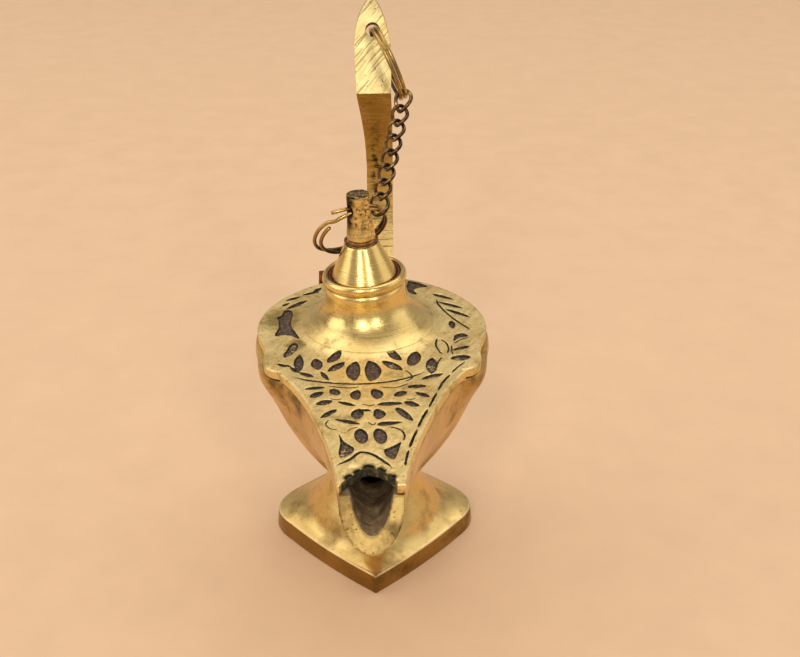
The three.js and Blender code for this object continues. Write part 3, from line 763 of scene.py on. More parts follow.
def crust_material(name, deep, light, metallic=0.0):
    n = Nodes(name)
    cloud = n.noise(700, 5, 0.65)
    n.colour(n.ramp(cloud, (0.36, deep), (0.64, light)))
    n.roughness(n.levels(cloud, 0.3, 0.7, 0.5, 0.85))
    n.bump((cloud, 0.8, 0.0004))
    return n.done(metallic)


residue = crust_material("residue", (0.035, 0.010, 0.008), (0.17, 0.05, 0.035))
solder = crust_material("solder", (0.05, 0.018, 0.012), (0.24, 0.09, 0.05), 0.4)
scroll_metal = crust_material("scroll_metal", (0.05, 0.012, 0.006), (0.36, 0.14, 0.04), 0.9)
steel = crust_material("steel", (0.30, 0.29, 0.27), (0.52, 0.50, 0.47), 1.0)
fibre = crust_material("fibre", (0.06, 0.045, 0.035), (0.16, 0.12, 0.09))


# ---------------------------------------------------------------- camera, floor, light

camera_data = bpy.data.cameras.new("camera")
camera_data.lens = 50.0
camera_data.sensor_width = 36.0
camera_data.clip_start, camera_data.clip_end = 0.01, 20
camera = bpy.data.objects.new("camera", camera_data)
bpy.context.scene.collection.objects.link(camera)
camera.location = (0, -0.314, 0.255)
camera.rotation_euler = (math.radians(90 - 29), 0, math.radians(-1.635))
bpy.context.scene.camera = camera


def floor():
    size = 1.6
    verts = [(-size, -size, 0), (size, -size, 0), (size, size, 0), (-size, size, 0)]
    obj = make("floor", np.array(verts) / MM, [(0, 1, 2, 3)])
    n = Nodes("floor_paper")
    cloud = n.noise(45, 5, 0.6)
    fibre_noise = n.noise(600, 3, 0.6)
    n.colour(n.ramp(cloud, (0.35, (0.715, 0.475, 0.285)), (0.65, (0.75, 0.50, 0.30))))
    n.roughness(n.levels(fibre_noise, 0.3, 0.7, 0.6, 0.8))
    n.bump((fibre_noise, 0.15, 0.0002))
    obj.data.materials.append(n.done(0.0))


def lamp_light(name, where, aim, size, power, colour=(1, 1, 1)):
    data = bpy.data.lights.new(name, "AREA")
    data.shape = "RECTANGLE"
    data.size, data.size_y = size
    data.energy, data.color = power, colour
    obj = bpy.data.objects.new(name, data)
    bpy.context.scene.collection.objects.link(obj)
    obj.location = where
    obj.rotation_euler = (Vector(aim) - Vector(where)).to_track_quat("-Z", "Y").to_euler()


floor()
lamp_light("overhead", (0.0, 0.6, 1.9), (0, 0, 0.05), (3.6, 1.5), 25.5, (1.0, 0.97, 0.93))
lamp_light("pane_left", (-0.58, -2.0, 1.5), (0, 0, 0.09), (0.34, 1.3), 17, (1.0, 0.98, 0.94))
lamp_light("pane_right", (0.72, -1.95, 1.4), (0, 0, 0.09), (0.20, 1.2), 11, (1.0, 0.98, 0.94))
lamp_light("wall_left", (-2.0, -0.2, 1.0), (0, 0, 0.09), (1.6, 1.4), 10, (1.0, 0.97, 0.93))
lamp_light("wall_right", (2.0, 0.0, 1.0), (0, 0, 0.09), (1.6, 1.4), 5, (1.0, 0.97, 0.93))

world = bpy.data.worlds.new("studio")
bpy.context.scene.world = world
world.use_nodes = True
world.node_tree.nodes["Background"].inputs["Color"].default_value = (1.0, 0.92, 0.84, 1)
world.node_tree.nodes["Background"].inputs["Strength"].default_value = 0.42
bpy.context.scene.view_settings.view_transform = "Standard"


# ---------------------------------------------------------------- pedestal

def plinth_outline(count):
    right = np.vstack([bezier([(0, -35), (17, -21.5), (29.5, -6.5)], 60)[:-1],
                       bezier([(29.5, -6.5), (36.5, 0.5), (36.5, 7), (29.5, 14)], 60)[:-1],
                       bezier([(29.5, 14), (16, 26), (0, 37)], 60)])
    right = respaced(right, count)
    left = right[1:-1][::-1] * [-1, 1]
    return np.vstack([right, left])


def pedestal():
    outline = plinth_outline(130)
    angle = np.arctan2(outline[:, 1], outline[:, 0])
    circle = np.stack([np.cos(angle), np.sin(angle)], 1)
    flare = through([(7.0, 0.962, 30, 0), (8.6, 0.86, 28, 0.15), (11, 0.75, 24.5, 0.5), (14, 0.70, 21.6, 0.8),
                     (17.5, 0.66, 19, 1), (21.5, 0.60, 16.9, 1), (24.5, 0.60, 15.6, 1),
                     (26.4, 0.60, 15.05, 1)], 8)
    levels = [(0.0, 0.985, 30, 0), (0.25, 0.9975, 30, 0), (0.6, 0.9995, 30, 0), (3.2, 0.993, 30, 0),
              (6.0, 0.986, 30, 0), (6.5, 0.9835, 30, 0), (6.85, 0.978, 30, 0), (6.98, 0.970, 30, 0)]
    levels = np.vstack([levels, flare, [(26.65, 0.6, 14.9, 1), (26.7, 0.6, 14.6, 1)]])
    rings = []
    eased = outline.copy()
    for z, scale, radius, share in levels:
        if z > PLINTH_HEIGHT - 0.1:  # the points fade out above the rim
            for _ in range(int(14 * min(z - PLINTH_HEIGHT + 0.25, 3))):
                eased = (np.roll(eased, 1, axis=0) + 2 * eased + np.roll(eased, -1, axis=0)) / 4
        flat = eased * scale * (1 - share) + circle * radius * share
        rings.append(np.column_stack([flat, np.full(len(flat), z)]))
    verts, faces = loft(rings)
    away = np.maximum(np.linalg.norm(verts[:, :2], axis=1, keepdims=True), 1)
    dents = 0.16 * rough(verts, 11, 3, 2)[:, None] * smooth(verts[:, 2:3], 8, 12) + 0.05 * rough(
        verts, 3.5, 5, 2)[:, None] * smooth(verts[:, 2:3], 1, 3)
    verts[:, :2] -= verts[:, :2] / away * np.abs(dents)
    obj = make("pedestal_cast", verts, faces, 40)
    boolean(obj, [bar((0, 0, 13), (0, 0, 30), 2.8)], "DIFFERENCE")
    shade(obj, 40)
    centre, normal = face_data(obj)
    # the plinth's side faces below the rim get the darker brass: partly patina, partly painted shade
    index = np.where((centre[:, 2] < 6.3) & (normal[:, 2] < 0.5), 1, 0)
    # the rim of the plinth's top and its front and back corner lines get the paler brass: painted highlight
    rim = (centre[:, 2] > 6.3) & (centre[:, 2] < 7) & (normal[:, 2] < 0.95)
    corner = (np.abs(centre[:, 0]) < 0.25) & (np.abs(centre[:, 1]) > 33) & (centre[:, 2] < 7)
    index[rim | corner] = 2
    finish_piece(obj, "lamp", ["pedestal"], [pedestal_brass, plinth_brass, rim_highlight_brass], index)


# ---------------------------------------------------------------- bowl and spout

def bowl_radius(z):
    rise = np.clip((z - 27) / (BOWL_WIDEST - 27), 0, 1)
    swell = STEM_RADIUS + (BOWL_RADIUS - STEM_RADIUS) * (1 - (1 - rise) ** SWELL_POWER)
    return swell - 0.7 * (np.maximum(z - BOWL_WIDEST, 0) / 4) ** 2


def plan_radius(angle, width, shoulder):
    return 34 + 2.7 * bell(angle, 85, 25) + shoulder * bell(angle, 48, width)


def bowl_ring(z, count):
    share = smooth(z, 52, DECK_UNDERSIDE)
    lobing = LOBE_DEPTH * smooth(z, 27, 38) * (1 - smooth(z, 66, DECK_UNDERSIDE))
    turn = np.arange(count) / count * TAU
    away = np.abs((np.degrees(turn) + 90 + 180) % 360 - 180)
    plan = plan_radius(away, 13, 6.5 * share) / 36.7
    lobe = 1 - lobing * (1 - np.abs(np.sin(5 * (turn + math.pi / 2)))) ** 1.5
    r = bowl_radius(z) * (1 + (plan - 1) * share) * lobe
    return np.column_stack([r * np.cos(turn), r * np.sin(turn), np.full(count, z)])


def spout_edge(count=80):
    return bezier([(28, -30.5), (21, -38), (11, -66), (SPOUT_TIP_HALF_WIDTH, DECK_FRONT - 0.4)], count)


EDGE = spout_edge()


def spout_half_width(y):
    y = np.asarray(y, float)
    inner = 28 - 0.12 * (y + 30.5)
    along = np.interp(-y, -EDGE[:, 1], EDGE[:, 0])
    return np.where(y > -30.5, inner, along)


def spout_drift(y):
    return SPOUT_DRIFT * (1 - smooth(y, DECK_FRONT, -45))


def keel_height(y):
    back = np.clip((np.asarray(y, float) - SPOUT_TIP_Y) / (KEEL_FOOT_Y - SPOUT_TIP_Y), 0, 1)
    return SPOUT_TIP_Z - (SPOUT_TIP_Z - KEEL_FOOT_Z) * back ** 1.2


def spout_section(y, depth_in, top, turn):
    half = np.minimum(spout_half_width(y), 27) - depth_in
    keel = keel_height(y) + depth_in * 1.15
    if depth_in:  # the channel's floor is level behind the mouth, then falls to the bowl
        keel = max(keel, CHANNEL_FLOOR - (CHANNEL_FLOOR - KEEL_FOOT_Z) * float(smooth(y, -70, -42)))
    sharpness = 1.2 + 0.7 * smooth(y, -80, -40)
    x = half * np.sign(turn) * np.abs(np.sin(turn)) ** sharpness
    return x + spout_drift(y), top - (top - keel) * np.cos(turn)


def spout_skin(depth_in, top, start, end, steps, sides):
    rings = []
    for y in np.linspace(start, end, steps):
        turn = np.linspace(-math.pi / 2, math.pi / 2, sides)
        x, z = spout_section(y, depth_in, top, turn)
        rings.append(np.column_stack([x, np.full(sides, y), z]))
    return loft(rings)


def mouth_cutter():
    m = Matrix.Translation((0, DECK_FRONT - 0.2, DECK_UNDERSIDE)) @ Matrix.Rotation(-MOUTH_ANGLE, 4, "X")
    s = 30
    corners = [(x, y, z) for z in (-s, s) for y in (-2 * s, 0) for x in (-s, s)]
    faces = [(0, 2, 3, 1), (4, 5, 7, 6), (0, 1, 5, 4), (2, 6, 7, 3), (0, 4, 6, 2), (1, 3, 7, 5)]
    return make("cutter", moved(corners, m), faces)


def bowl():
    levels = np.concatenate([[27, 27.3], np.linspace(28, 79, 52), [79.5, BOWL_TOP]])
    obj = make("bowl_cast", *loft([bowl_ring(z, 240) for z in levels]))
    boolean(obj, [make("spout", *spout_skin(0, BOWL_TOP, -15, SPOUT_TIP_Y - 6, 90, 61))], "UNION")
    heights = np.concatenate([[BOWL_FLOOR], np.linspace(34, 78, 24), [DECK_TOP]])
    profile = [(0, BOWL_FLOOR)] + [(bowl_radius(z) * 0.93 - 3, z) for z in heights] + [(0, DECK_TOP)]
    hollow = make("hollow", *lathe(profile, 120, closed=False))
    channel = make("channel", *spout_skin(SPOUT_WALL, DECK_TOP, -14, SPOUT_TIP_Y - 8, 70, 41))
    boolean(obj, [hollow, channel, bar((0, 0, 20), (0, 0, 40), 2.8), mouth_cutter()], "DIFFERENCE")
    m = obj.modifiers.new("remesh", "REMESH")
    m.mode, m.voxel_size = "VOXEL", 0.48 * MM
    evaluated(obj)
    m = obj.modifiers.new("soften", "SMOOTH")
    m.factor, m.iterations = 0.5, 4
    evaluated(obj)
    co = coordinates(obj)
    away = np.maximum(np.linalg.norm(co[:, :2], axis=1), 1)
    below = 1 - smooth(co[:, 2], 76, 79)
    dent = 0.14 * rough(co, 9, 11, 2) + 0.05 * rough(co, 2.6, 17, 2)
    co[:, :2] -= co[:, :2] / away[:, None] * (np.abs(dent) * below)[:, None]
    mouth = smooth(-co[:, 1], 82, 88)
    co += 0.10 * mouth[:, None] * np.column_stack([rough(co, 2.4, 21), np.abs(rough(co, 2.4, 22)),
                                                   -np.abs(rough(co, 2.4, 23))])
    set_coordinates(obj, co)
    centre, normal = face_data(obj)
    x, y, z = centre.T
    radius = np.hypot(x, y)
    half = spout_half_width(y)
    depth = (BOWL_TOP - z) / np.maximum(BOWL_TOP - keel_height(y), 1)
    sharpness = 1.2 + 0.7 * smooth(y, -80, -40)
    wide = half * np.clip(1 - depth ** 2, 0, 1) ** (sharpness / 2)
    in_spout = (y < -34) & (np.abs(x - spout_drift(y)) < wide - 1.3) & (z > keel_height(y) + 1.5)
    in_bowl = (radius < bowl_radius(z) * 0.93 - 1.2) & (z > 31) & (y > -36)
    lip_normal = np.array([0, -math.cos(MOUTH_ANGLE), math.sin(MOUTH_ANGLE)])
    plane = (centre - [0, DECK_FRONT - 0.2, DECK_UNDERSIDE]) @ lip_normal
    lip = (plane > -0.7) & (normal @ lip_normal > 0.6)
    index = np.zeros(len(centre), int)
    index[in_spout | in_bowl] = 1
    index[lip] = 2
    shade(obj, 60)
    finish_piece(obj, "lamp", ["bowl"], [bowl_brass, soot, lip_brass], index)


# ---------------------------------------------------------------- deck plate and its engraving

def leaf(x, y, angle, length, left, right, blunt=0.6, skew=1.0):
    """Outline of one engraved leaf or bean: its middle, direction, length and half widths."""
    t = np.linspace(0, 1, 15)
    width = np.sin(math.pi * t ** skew) ** blunt
    along = (t - 0.5) * length
    up = np.column_stack([along, left * width])
    down = np.column_stack([along, -right * width])[::-1][1:-1]
    p = np.vstack([up, down])[::-1]
    a = math.radians(angle)
    return p @ np.array([[math.cos(a), math.sin(a)], [-math.sin(a), math.cos(a)]]) + [x, y]


def stroke(points, width):
    """Outline of a line cut through the points, pointed at both ends."""
    p = through(points, 6)
    t = np.linspace(0, 1, len(p))
    side = np.gradient(p, axis=0)
    side = np.column_stack([-side[:, 1], side[:, 0]]) / np.linalg.norm(side, axis=1, keepdims=True)
    w = width / 2 * np.clip(np.minimum(t, 1 - t) * 9, 0.15, 1)[:, None]
    return np.vstack([p + side * w, (p - side * w)[::-1]])[::-1]


def patch(points):
    return rounded(points, 1.2, steps=3)


DARK_CUTS = [
    # the flower in the middle, and the leaves round it
    leaf(-5.2, -29.6, 88, 11.2, 2.9, 1.5, 0.6), leaf(-1.0, -29.7, 92, 11.6, 1.4, 3.6, 0.55),
    leaf(-11.0, -27.0, 47, 7.4, 1.4, 1.6, 0.7), leaf(-16.9, -25.3, 100, 6.8, 1.8, 1.8),
    leaf(-11.7, -21.9, 52, 6.6, 1.6, 1.6), leaf(6.5, -21.5, -45, 6.4, 1.5, 1.5),
    leaf(12.5, -23.0, 74, 8.6, 2.0, 2.1, 0.5), leaf(-22.2, -24.6, 92, 10.5, 1.7, 1.4, 0.7),
    leaf(-14.3, -32.1, -64, 5.8, 0.8, 0.9, 0.8),
    # the second row
    leaf(-16.3, -42.4, 36, 4.8, 1.3, 1.3), leaf(-11.1, -41.1, -50, 4.0, 1.5, 1.5, 0.5),
    leaf(-4.4, -42.8, 87, 5.6, 2.3, 0.9), leaf(0.5, -42.5, 103, 5.9, 1.1, 2.5),
    leaf(7.9, -42.6, 30, 4.6, 1.4, 1.3), leaf(14.3, -43.2, -34, 5.2, 1.0, 1.0, 0.8),
    # the third row
    leaf(-7.6, -47.4, -24, 6.0, 0.8, 0.8, 0.8), leaf(4.7, -47.8, 4, 7.6, 1.1, 1.0, 0.5),
    leaf(-4.2, -52.8, 80, 5.4, 2.2, 1.5, 0.5), leaf(-2.2, -50.9, -10, 3.4, 0.6, 0.7, 0.6),
    leaf(1.1, -53.0, 94, 5.5, 1.2, 2.4), leaf(8.7, -53.2, -57, 8.4, 1.2, 1.3, 0.6, 0.8),
    leaf(-7.4, -56.5, -20, 8.0, 0.9, 0.9, 0.7, 1.3), leaf(4.6, -57.6, 8, 7.4, 1.0, 1.1, 0.7, 0.6),
    # the last row before the spout's end
    leaf(-3.4, -63.7, 98, 7.6, 1.9, 1.9, 0.5), leaf(1.6, -63.8, 97, 7.8, 1.7, 2.1, 0.5),
    patch([(7.6, -66.2), (6.6, -70.8), (5.4, -75.2), (3.2, -73.6), (2.4, -70.2), (5.0, -68.8)][::-1]),
    stroke([(-24.2, -32.0), (-19.3, -34.4), (-12.6, -36.0), (-5.3, -36.9), (2.1, -36.4), (8, -34.8),
            (11.7, -33.1),
            (15.4, -30.6)], 0.85),
    stroke([(9.0, -36.2), (11.6, -33.9), (10.9, -31.2), (9.6, -29.4)], 0.5),
    stroke([(4.2, -59.2), (7.2, -60.8), (8.4, -63.4), (8.0, -66.2)], 0.6),
    stroke([(10.6, -36.9), (6.5, -39.2), (2, -38.6)], 0.5),
    stroke([(-13.5, -37.7), (-8, -38.9), (-4, -38.6)], 0.5),
    leaf(-19.8, -31.2, -32, 5.6, 0.9, 0.9, 0.7), leaf(-23.4, -28.4, -50, 4.6, 0.7, 0.8, 0.7),
    # thin scrolls between the rows
    stroke([(-12.3, -44.6), (-10.4, -45.2), (-8.9, -44.6)], 0.45),
    stroke([(-3.2, -47.6), (-1.0, -48.6), (0.6, -47.8)], 0.45),
    stroke([(9.4, -45.4), (10.6, -45.6), (12.4, -45.2)], 0.4),
    stroke([(-1.6, -56.6), (-0.2, -58.4), (0.8, -57.0)], 0.45),
    stroke([(-12.4, -55.2), (-13.2, -57.6), (-12.0, -59.8), (-9.8, -60.4)], 0.45),
    stroke([(-7.4, -61.2), (-5.8, -59.8), (-4.2, -59.4)], 0.4),
    # the right lobe
    leaf(24.0, 17.9, -32, 8.4, 0.9, 1.0, 0.7, 0.8), leaf(26.0, 11.9, -31, 9.6, 0.9, 0.9, 0.7),
    leaf(28.0, 6.2, -38, 10.2, 0.9, 0.9, 0.7),
    stroke([(21.6, 16.2), (22, 12.5), (24, 7), (26.6, 2), (29.6, -2.6), (31.4, -5.6)], 0.75),
    leaf(25.6, -1.8, 92, 5.6, 1.1, 1.2, 0.6, 1.3),
    patch([(25.2, -13.0), (27.2, -10.2), (29.2, -10.2), (30.6, -8.8), (28.6, -7.0), (25.9, -8.2)]),
]
SPECKLED_CUTS = [
    patch([(-9.7, -61.8), (-8.2, -66), (-5, -69.3), (-5.6, -71.6), (-8.8, -74.2), (-9.5, -71),
           (-9.0, -67)][::-1]),
    leaf(5.9, -26.8, -42, 8.2, 1.6, 1.6, 0.6), leaf(17.8, -27.0, 86, 9.6, 1.9, 1.8, 0.7),
    leaf(17.6, -33.2, 26, 7.6, 1.1, 1.1, 0.7), leaf(-17.0, -38.8, 7, 6.2, 0.8, 0.8, 0.5),
    leaf(12.8, -38.7, 5, 5.8, 1.1, 1.0, 0.5), leaf(10.9, -48.0, -30, 5.0, 1.3, 1.2, 0.6),
    leaf(-14.0, -46.6, 20, 5.2, 1.3, 1.4, 0.7), leaf(-12.6, -52.4, 44, 6.4, 1.0, 1.1, 0.7),
    stroke([(-9.9, -77.0), (-6.4, -74.4), (-3.7, -71.4), (-0.9, -72.0), (1.8, -74.6), (4.8, -78.4)], 0.95),
    # the groove along the right edge, cut in runs
    stroke([(28.0, -25.0), (25.6, -28.0), (23.4, -31.4)], 0.6),
    stroke([(23.0, -32.2), (20.6, -36.5), (18.8, -41.0)], 0.8),
    stroke([(18.5, -42.0), (16.9, -46.6), (15.7, -49.9)], 0.75),
    stroke([(15.4, -50.8), (13.6, -55.6), (12.2, -60.0)], 0.85),
    stroke([(12.0, -60.8), (10.6, -65.4), (9.5, -69.6)], 0.8),
    stroke([(9.3, -70.6), (8.6, -74.0), (8.1, -77.6)], 0.75),
    leaf(-27.4, -25.6, -35, 3.6, 0.7, 0.7), leaf(-25.6, -26.0, -30, 2.4, 0.5, 0.5),
    patch([(-25.8, -13.4), (-24.2, -11.9), (-23.0, -13.4), (-23.2, -16.6), (-24.6, -19.2), (-26.9, -21.6),
           (-27.6, -19.2),
           (-26.4, -16.4)][::-1]),
    leaf(-26.4, 17.9, 30, 6.0, 0.8, 0.8, 0.6), leaf(-20.6, 21.6, 22, 6.4, 0.8, 0.8, 0.6),
    leaf(-28.6, 13.6, 48, 3.4, 0.7, 0.6),
    leaf(27.4, -16.7, 23, 6.4, 0.9, 0.9, 0.7), leaf(26.8, -22.6, 9, 6.4, 1.7, 1.7, 0.6),
    stroke([(20.4, -10.6), (19.7, -14.5), (20.4, -18.2), (21.4, -20.4)], 0.65),
    stroke([(21.4, -11.2), (23.0, -13.6), (23.5, -17.0), (22.9, -19.6)], 0.6),
    stroke([(30.4, -9.9), (27.6, -11.6), (25.2, -13.9)], 0.5),
    stroke([(21.2, -22.0), (20.0, -24.4), (19.6, -26.4)], 0.55),
    stroke([(24.6, -14.8), (24.4, -18.4), (24.6, -20.4)], 0.5),
]
GREY_CUTS = [
    patch([(-28.8, 10.2), (-26.2, 9.6), (-25.8, 6), (-26.3, 1), (-25.5, -3), (-24.4, -5.6), (-22.6, -10.2),
           (-24, -9.4), (-25.8, -7.4), (-28.4, -7), (-30, -8), (-31, -7), (-29.8, -2), (-30.2, 2), (-31, 5),
           (-29.5, 6)][::-1]),
    leaf(-24.9, 13.4, 43, 9.2, 1.1, 1.2, 0.7),
    patch([(12.6, 30.6), (16, 28.6), (18.8, 26.8), (19.4, 25.5), (16, 24.8), (13.8, 23), (15.5, 20.6),
           (14.5, 19.2), (12.6, 20.6), (11.8, 25)][::-1]),
    leaf(-18.6, 24.0, 55, 5.0, 0.9, 1.0, 0.7),
]


def deck_outline():
    """Anticlockwise outline of the plate, with the broken notch at the spout's end."""
    edge = spout_edge(60)
    right = np.vstack([[(SPOUT_TIP_HALF_WIDTH, DECK_FRONT)], edge[:-1][::-1]])
    angle = np.arange(42, 318.1, 1.5)
    r = plan_radius(np.minimum(angle, 360 - angle), 9, 7)
    turn = np.radians(angle - 90)
    around = np.column_stack([r * np.cos(turn), r * np.sin(turn)])
    left = right[::-1] * [-1, 1]
    for side in (right, left):
        side[:, 0] += spout_drift(side[:, 1])
    smooth_part = respaced(np.vstack([right, around, left]), 620)
    broken = np.array([(-9.0, -85.8), (-8.5, -85.0), (-6.6, -82.6), (-5.2, -81.2), (-3.2, -79.2),
                       (-1.6, -78.2),
                       (1.2, -78.9), (3.6, -81.4), (5.6, -84.2), (5.9, -85.8)])
    broken = respaced(broken, 90)
    jag = 0.5 * rough(np.column_stack([broken * 1.0, np.zeros(len(broken))]), 2.4, 31, 3)
    wobble = np.column_stack([jag, np.roll(jag, 13)])
    wobble[:2] = wobble[-2:] = 0
    return np.vstack([smooth_part, broken + wobble])


def neck_height(radius):
    """Height of the flare over the deck at a radius; it falls away evenly beyond the foot."""
    share = np.clip((radius - NECK_TOP_RADIUS) / (NECK_FOOT_RADIUS - NECK_TOP_RADIUS), 0, 1)
    height = NECK_FLARE_HEIGHT * (1 - share ** (1 / NECK_FLARE_POWER))
    foot_slope = NECK_FLARE_HEIGHT / NECK_FLARE_POWER / (NECK_FOOT_RADIUS - NECK_TOP_RADIUS)
    return height - foot_slope * np.maximum(radius - NECK_FOOT_RADIUS, 0)


def blended(height):
    """The flare's height run softly into the flat of the deck."""
    return 0.5 * (height + np.sqrt(height ** 2 + 0.5))


def foot_rise(x, y):
    """How far the foot of the flare lifts the deck's surface."""
    radius = np.hypot(x - NECK_X, y)
    return blended(neck_height(np.maximum(radius, NECK_SKIRT))) * smooth(radius, NECK_SKIRT - 3, NECK_SKIRT)


def deck():
    outline = deck_outline()
    hand = 0.07 * lattice(np.column_stack([outline / 5.0, np.zeros(len(outline))]), 41)
    top_edge = inset(outline, 0.45 + np.abs(hand)[:, None])
    hole = np.column_stack([10.6 * np.cos(np.arange(72) / 72 * TAU) + NECK_X,
                            10.6 * np.sin(np.arange(72) / 72 * TAU)])
    cuts = [(c, k) for k, group in enumerate((DARK_CUTS, SPECKLED_CUTS, GREY_CUTS), 1) for c in group]
    grid = 0.55
    gx, gy = np.meshgrid(np.arange(-38, 38, grid), np.arange(-88, 36, grid * 0.87))
    gx[::2] += grid / 2
    points = np.column_stack([gx.ravel(), gy.ravel()])
    points += rng.uniform(-0.08, 0.08, points.shape)
    keep = inside(points, inset(outline, 0.8)) & (np.hypot(points[:, 0] - NECK_X, points[:, 1]) > 11.2)
    points = points[keep]
    loops = [top_edge, hole]
    for c, _ in cuts:
        count = max(12, int(np.linalg.norm(np.diff(c, axis=0), axis=1).sum() / 0.42))
        line = respaced(c, count, closed=True)
        line = line + 0.07 * np.column_stack([lattice(np.column_stack([line / 0.8, np.zeros(count)]), 51),
                                              lattice(np.column_stack([line / 0.8, np.zeros(count)]), 52)])
        loops.append(line)
    clear = np.ones(len(points), bool)
    for loop in loops[2:]:
        low, high = loop.min(0) - 0.3, loop.max(0) + 0.3
        near = np.where(((points > low) & (points < high)).all(1))[0]
        if len(near):
            gap = np.linalg.norm(points[near][:, None] - loop[None], axis=2).min(1)
            clear[near[gap < 0.24]] = False
    points = points[clear]
    flat, edges = [tuple(p) for p in points], []
    for loop in loops:
        start = len(flat)
        flat.extend(tuple(p) for p in loop)
        edges.extend((start + i, start + (i + 1) % len(loop)) for i in range(len(loop)))
    result = geometry.delaunay_2d_cdt([Vector(p) for p in flat], edges, [], 0, 1e-5)
    flat = np.array([tuple(v) for v in result[0]])
    faces = np.array([f for f in result[2] if len(f) == 3])
    middle = flat[faces].mean(1)
    faces = faces[inside(middle, top_edge) & (np.hypot(middle[:, 0] - NECK_X, middle[:, 1]) > 10.55)]
    middle = flat[faces].mean(1)
    kind = np.zeros(len(faces), int)
    sunk = np.zeros(len(flat), bool)
    on_line = np.zeros(len(flat), bool)
    for loop, (_, k) in zip(loops[2:], cuts):
        low, high = loop.min(0), loop.max(0)
        near = np.where(((middle > low) & (middle < high)).all(1))[0]
        kind[near[inside(middle[near], loop)]] = k
        near = np.where(((flat > low - 0.05) & (flat < high + 0.05)).all(1))[0]
        sunk[near[inside(flat[near], loop)]] = True
        if len(near):
            gap = np.linalg.norm(flat[near][:, None] - loop[None], axis=2).min(1)
            on_line[near[gap < 0.02]] = True
    z = np.full(len(flat), DECK_TOP)
    spread = np.column_stack([flat, np.zeros(len(flat))])
    z -= 0.10 * np.abs(rough(spread, 6.5, 61, 3)) + 0.02 * (1 + rough(spread, 1.3, 64, 2))
    crust = (1 - smooth(flat[:, 1], -79.5, -76.4)) * (1 - smooth(np.abs(flat[:, 0] + 1.4), 5.5, 7.5))
    z -= crust * np.abs(0.8 * rough(spread, 1.9, 73, 3))
    floor_z = DECK_TOP - 0.68 + 0.14 * rough(spread, 1.6, 67, 2)
    z = np.where(sunk & ~on_line, floor_z, z)
    z = np.where(on_line, z - 0.05, z) + foot_rise(flat[:, 0], flat[:, 1])
    steep = on_line[faces].any(1) & (kind > 0)
    kind[steep] = 5
    verts = np.column_stack([flat, z])
    # the edge: a rounded shoulder, the side, and the underside
    rim = np.array([np.argmin(np.hypot(*(flat - p).T)) for p in top_edge])
    rows = [rim]
    extra = []
    count = len(rim)
    for inward, height in ((0.2, 82.86), (0.04, 82.6), (0.0, 82.2), (0.05, 80.3), (0.3, 80.0)):
        ring = inset(outline, inward) if inward else outline
        rows.append(np.arange(len(verts) + len(extra), len(verts) + len(extra) + count))
        extra.extend(np.column_stack([ring, np.full(count, height)]))
    verts = np.vstack([verts, extra])
    all_faces = [tuple(f) for f in faces]
    kinds = list(kind)
    for a, b in zip(rows, rows[1:]):
        for i in range(count):
            j = (i + 1) % count
            all_faces.append((b[i], b[j], a[j], a[i]))
            kinds.append(0)
    under = rows[-1]
    hole_top = [int(np.argmin(np.hypot(*(flat - p).T))) for p in hole]
    start = len(verts)
    verts = np.vstack([verts, np.column_stack([hole, np.full(len(hole), DECK_UNDERSIDE)])])
    hole_low = list(range(start, start + len(hole)))
    for i in range(len(hole)):
        j = (i + 1) % len(hole)
        all_faces.append((hole_top[i], hole_top[j], hole_low[j], hole_low[i]))
        kinds.append(0)
    loop_low = [Vector(verts[i][:2]) for i in under] + [Vector(p) for p in hole]
    ids = list(under) + hole_low
    edges = [(i, (i + 1) % count) for i in range(count)]
    edges += [(count + i, count + (i + 1) % len(hole)) for i in range(len(hole))]
    low = geometry.delaunay_2d_cdt(loop_low, edges, [], 0, 1e-6)
    origin = [o[0] if o else None for o in low[3]]
    low_xy = np.array([tuple(v) for v in low[0]])
    outline_low = np.array([verts[i][:2] for i in under])
    for f in low[2]:
        c = low_xy[list(f)].mean(0)
        if None in [origin[i] for i in f]:
            continue
        if inside([c], outline_low)[0] and math.hypot(c[0] - NECK_X, c[1]) > 10.55:
            all_faces.append(tuple(int(ids[origin[i]]) for i in f)[::-1])
            kinds.append(0)
    obj = make("deck_engraved", verts, all_faces, 38)
    centre, normal = face_data(obj)
    kinds = np.array(kinds)
    broken_wall = ((kinds == 0) & (centre[:, 1] < -77) & (np.abs(normal[:, 2]) < 0.7)
                   & (np.abs(centre[:, 0] + 1.5) < 7))
    kinds[broken_wall] = 4
    finish_piece(obj, "lamp", ["deck_plate"],
                 [deck_brass, recess_dark, recess_speckled, recess_grey, burnt_crust, recess_wall], kinds)


# ---------------------------------------------------------------- neck, lid and pin

NECK = Matrix.Translation((NECK_X, 0, DECK_TOP)) @ Matrix.Rotation(NECK_LEAN, 4, "Y")


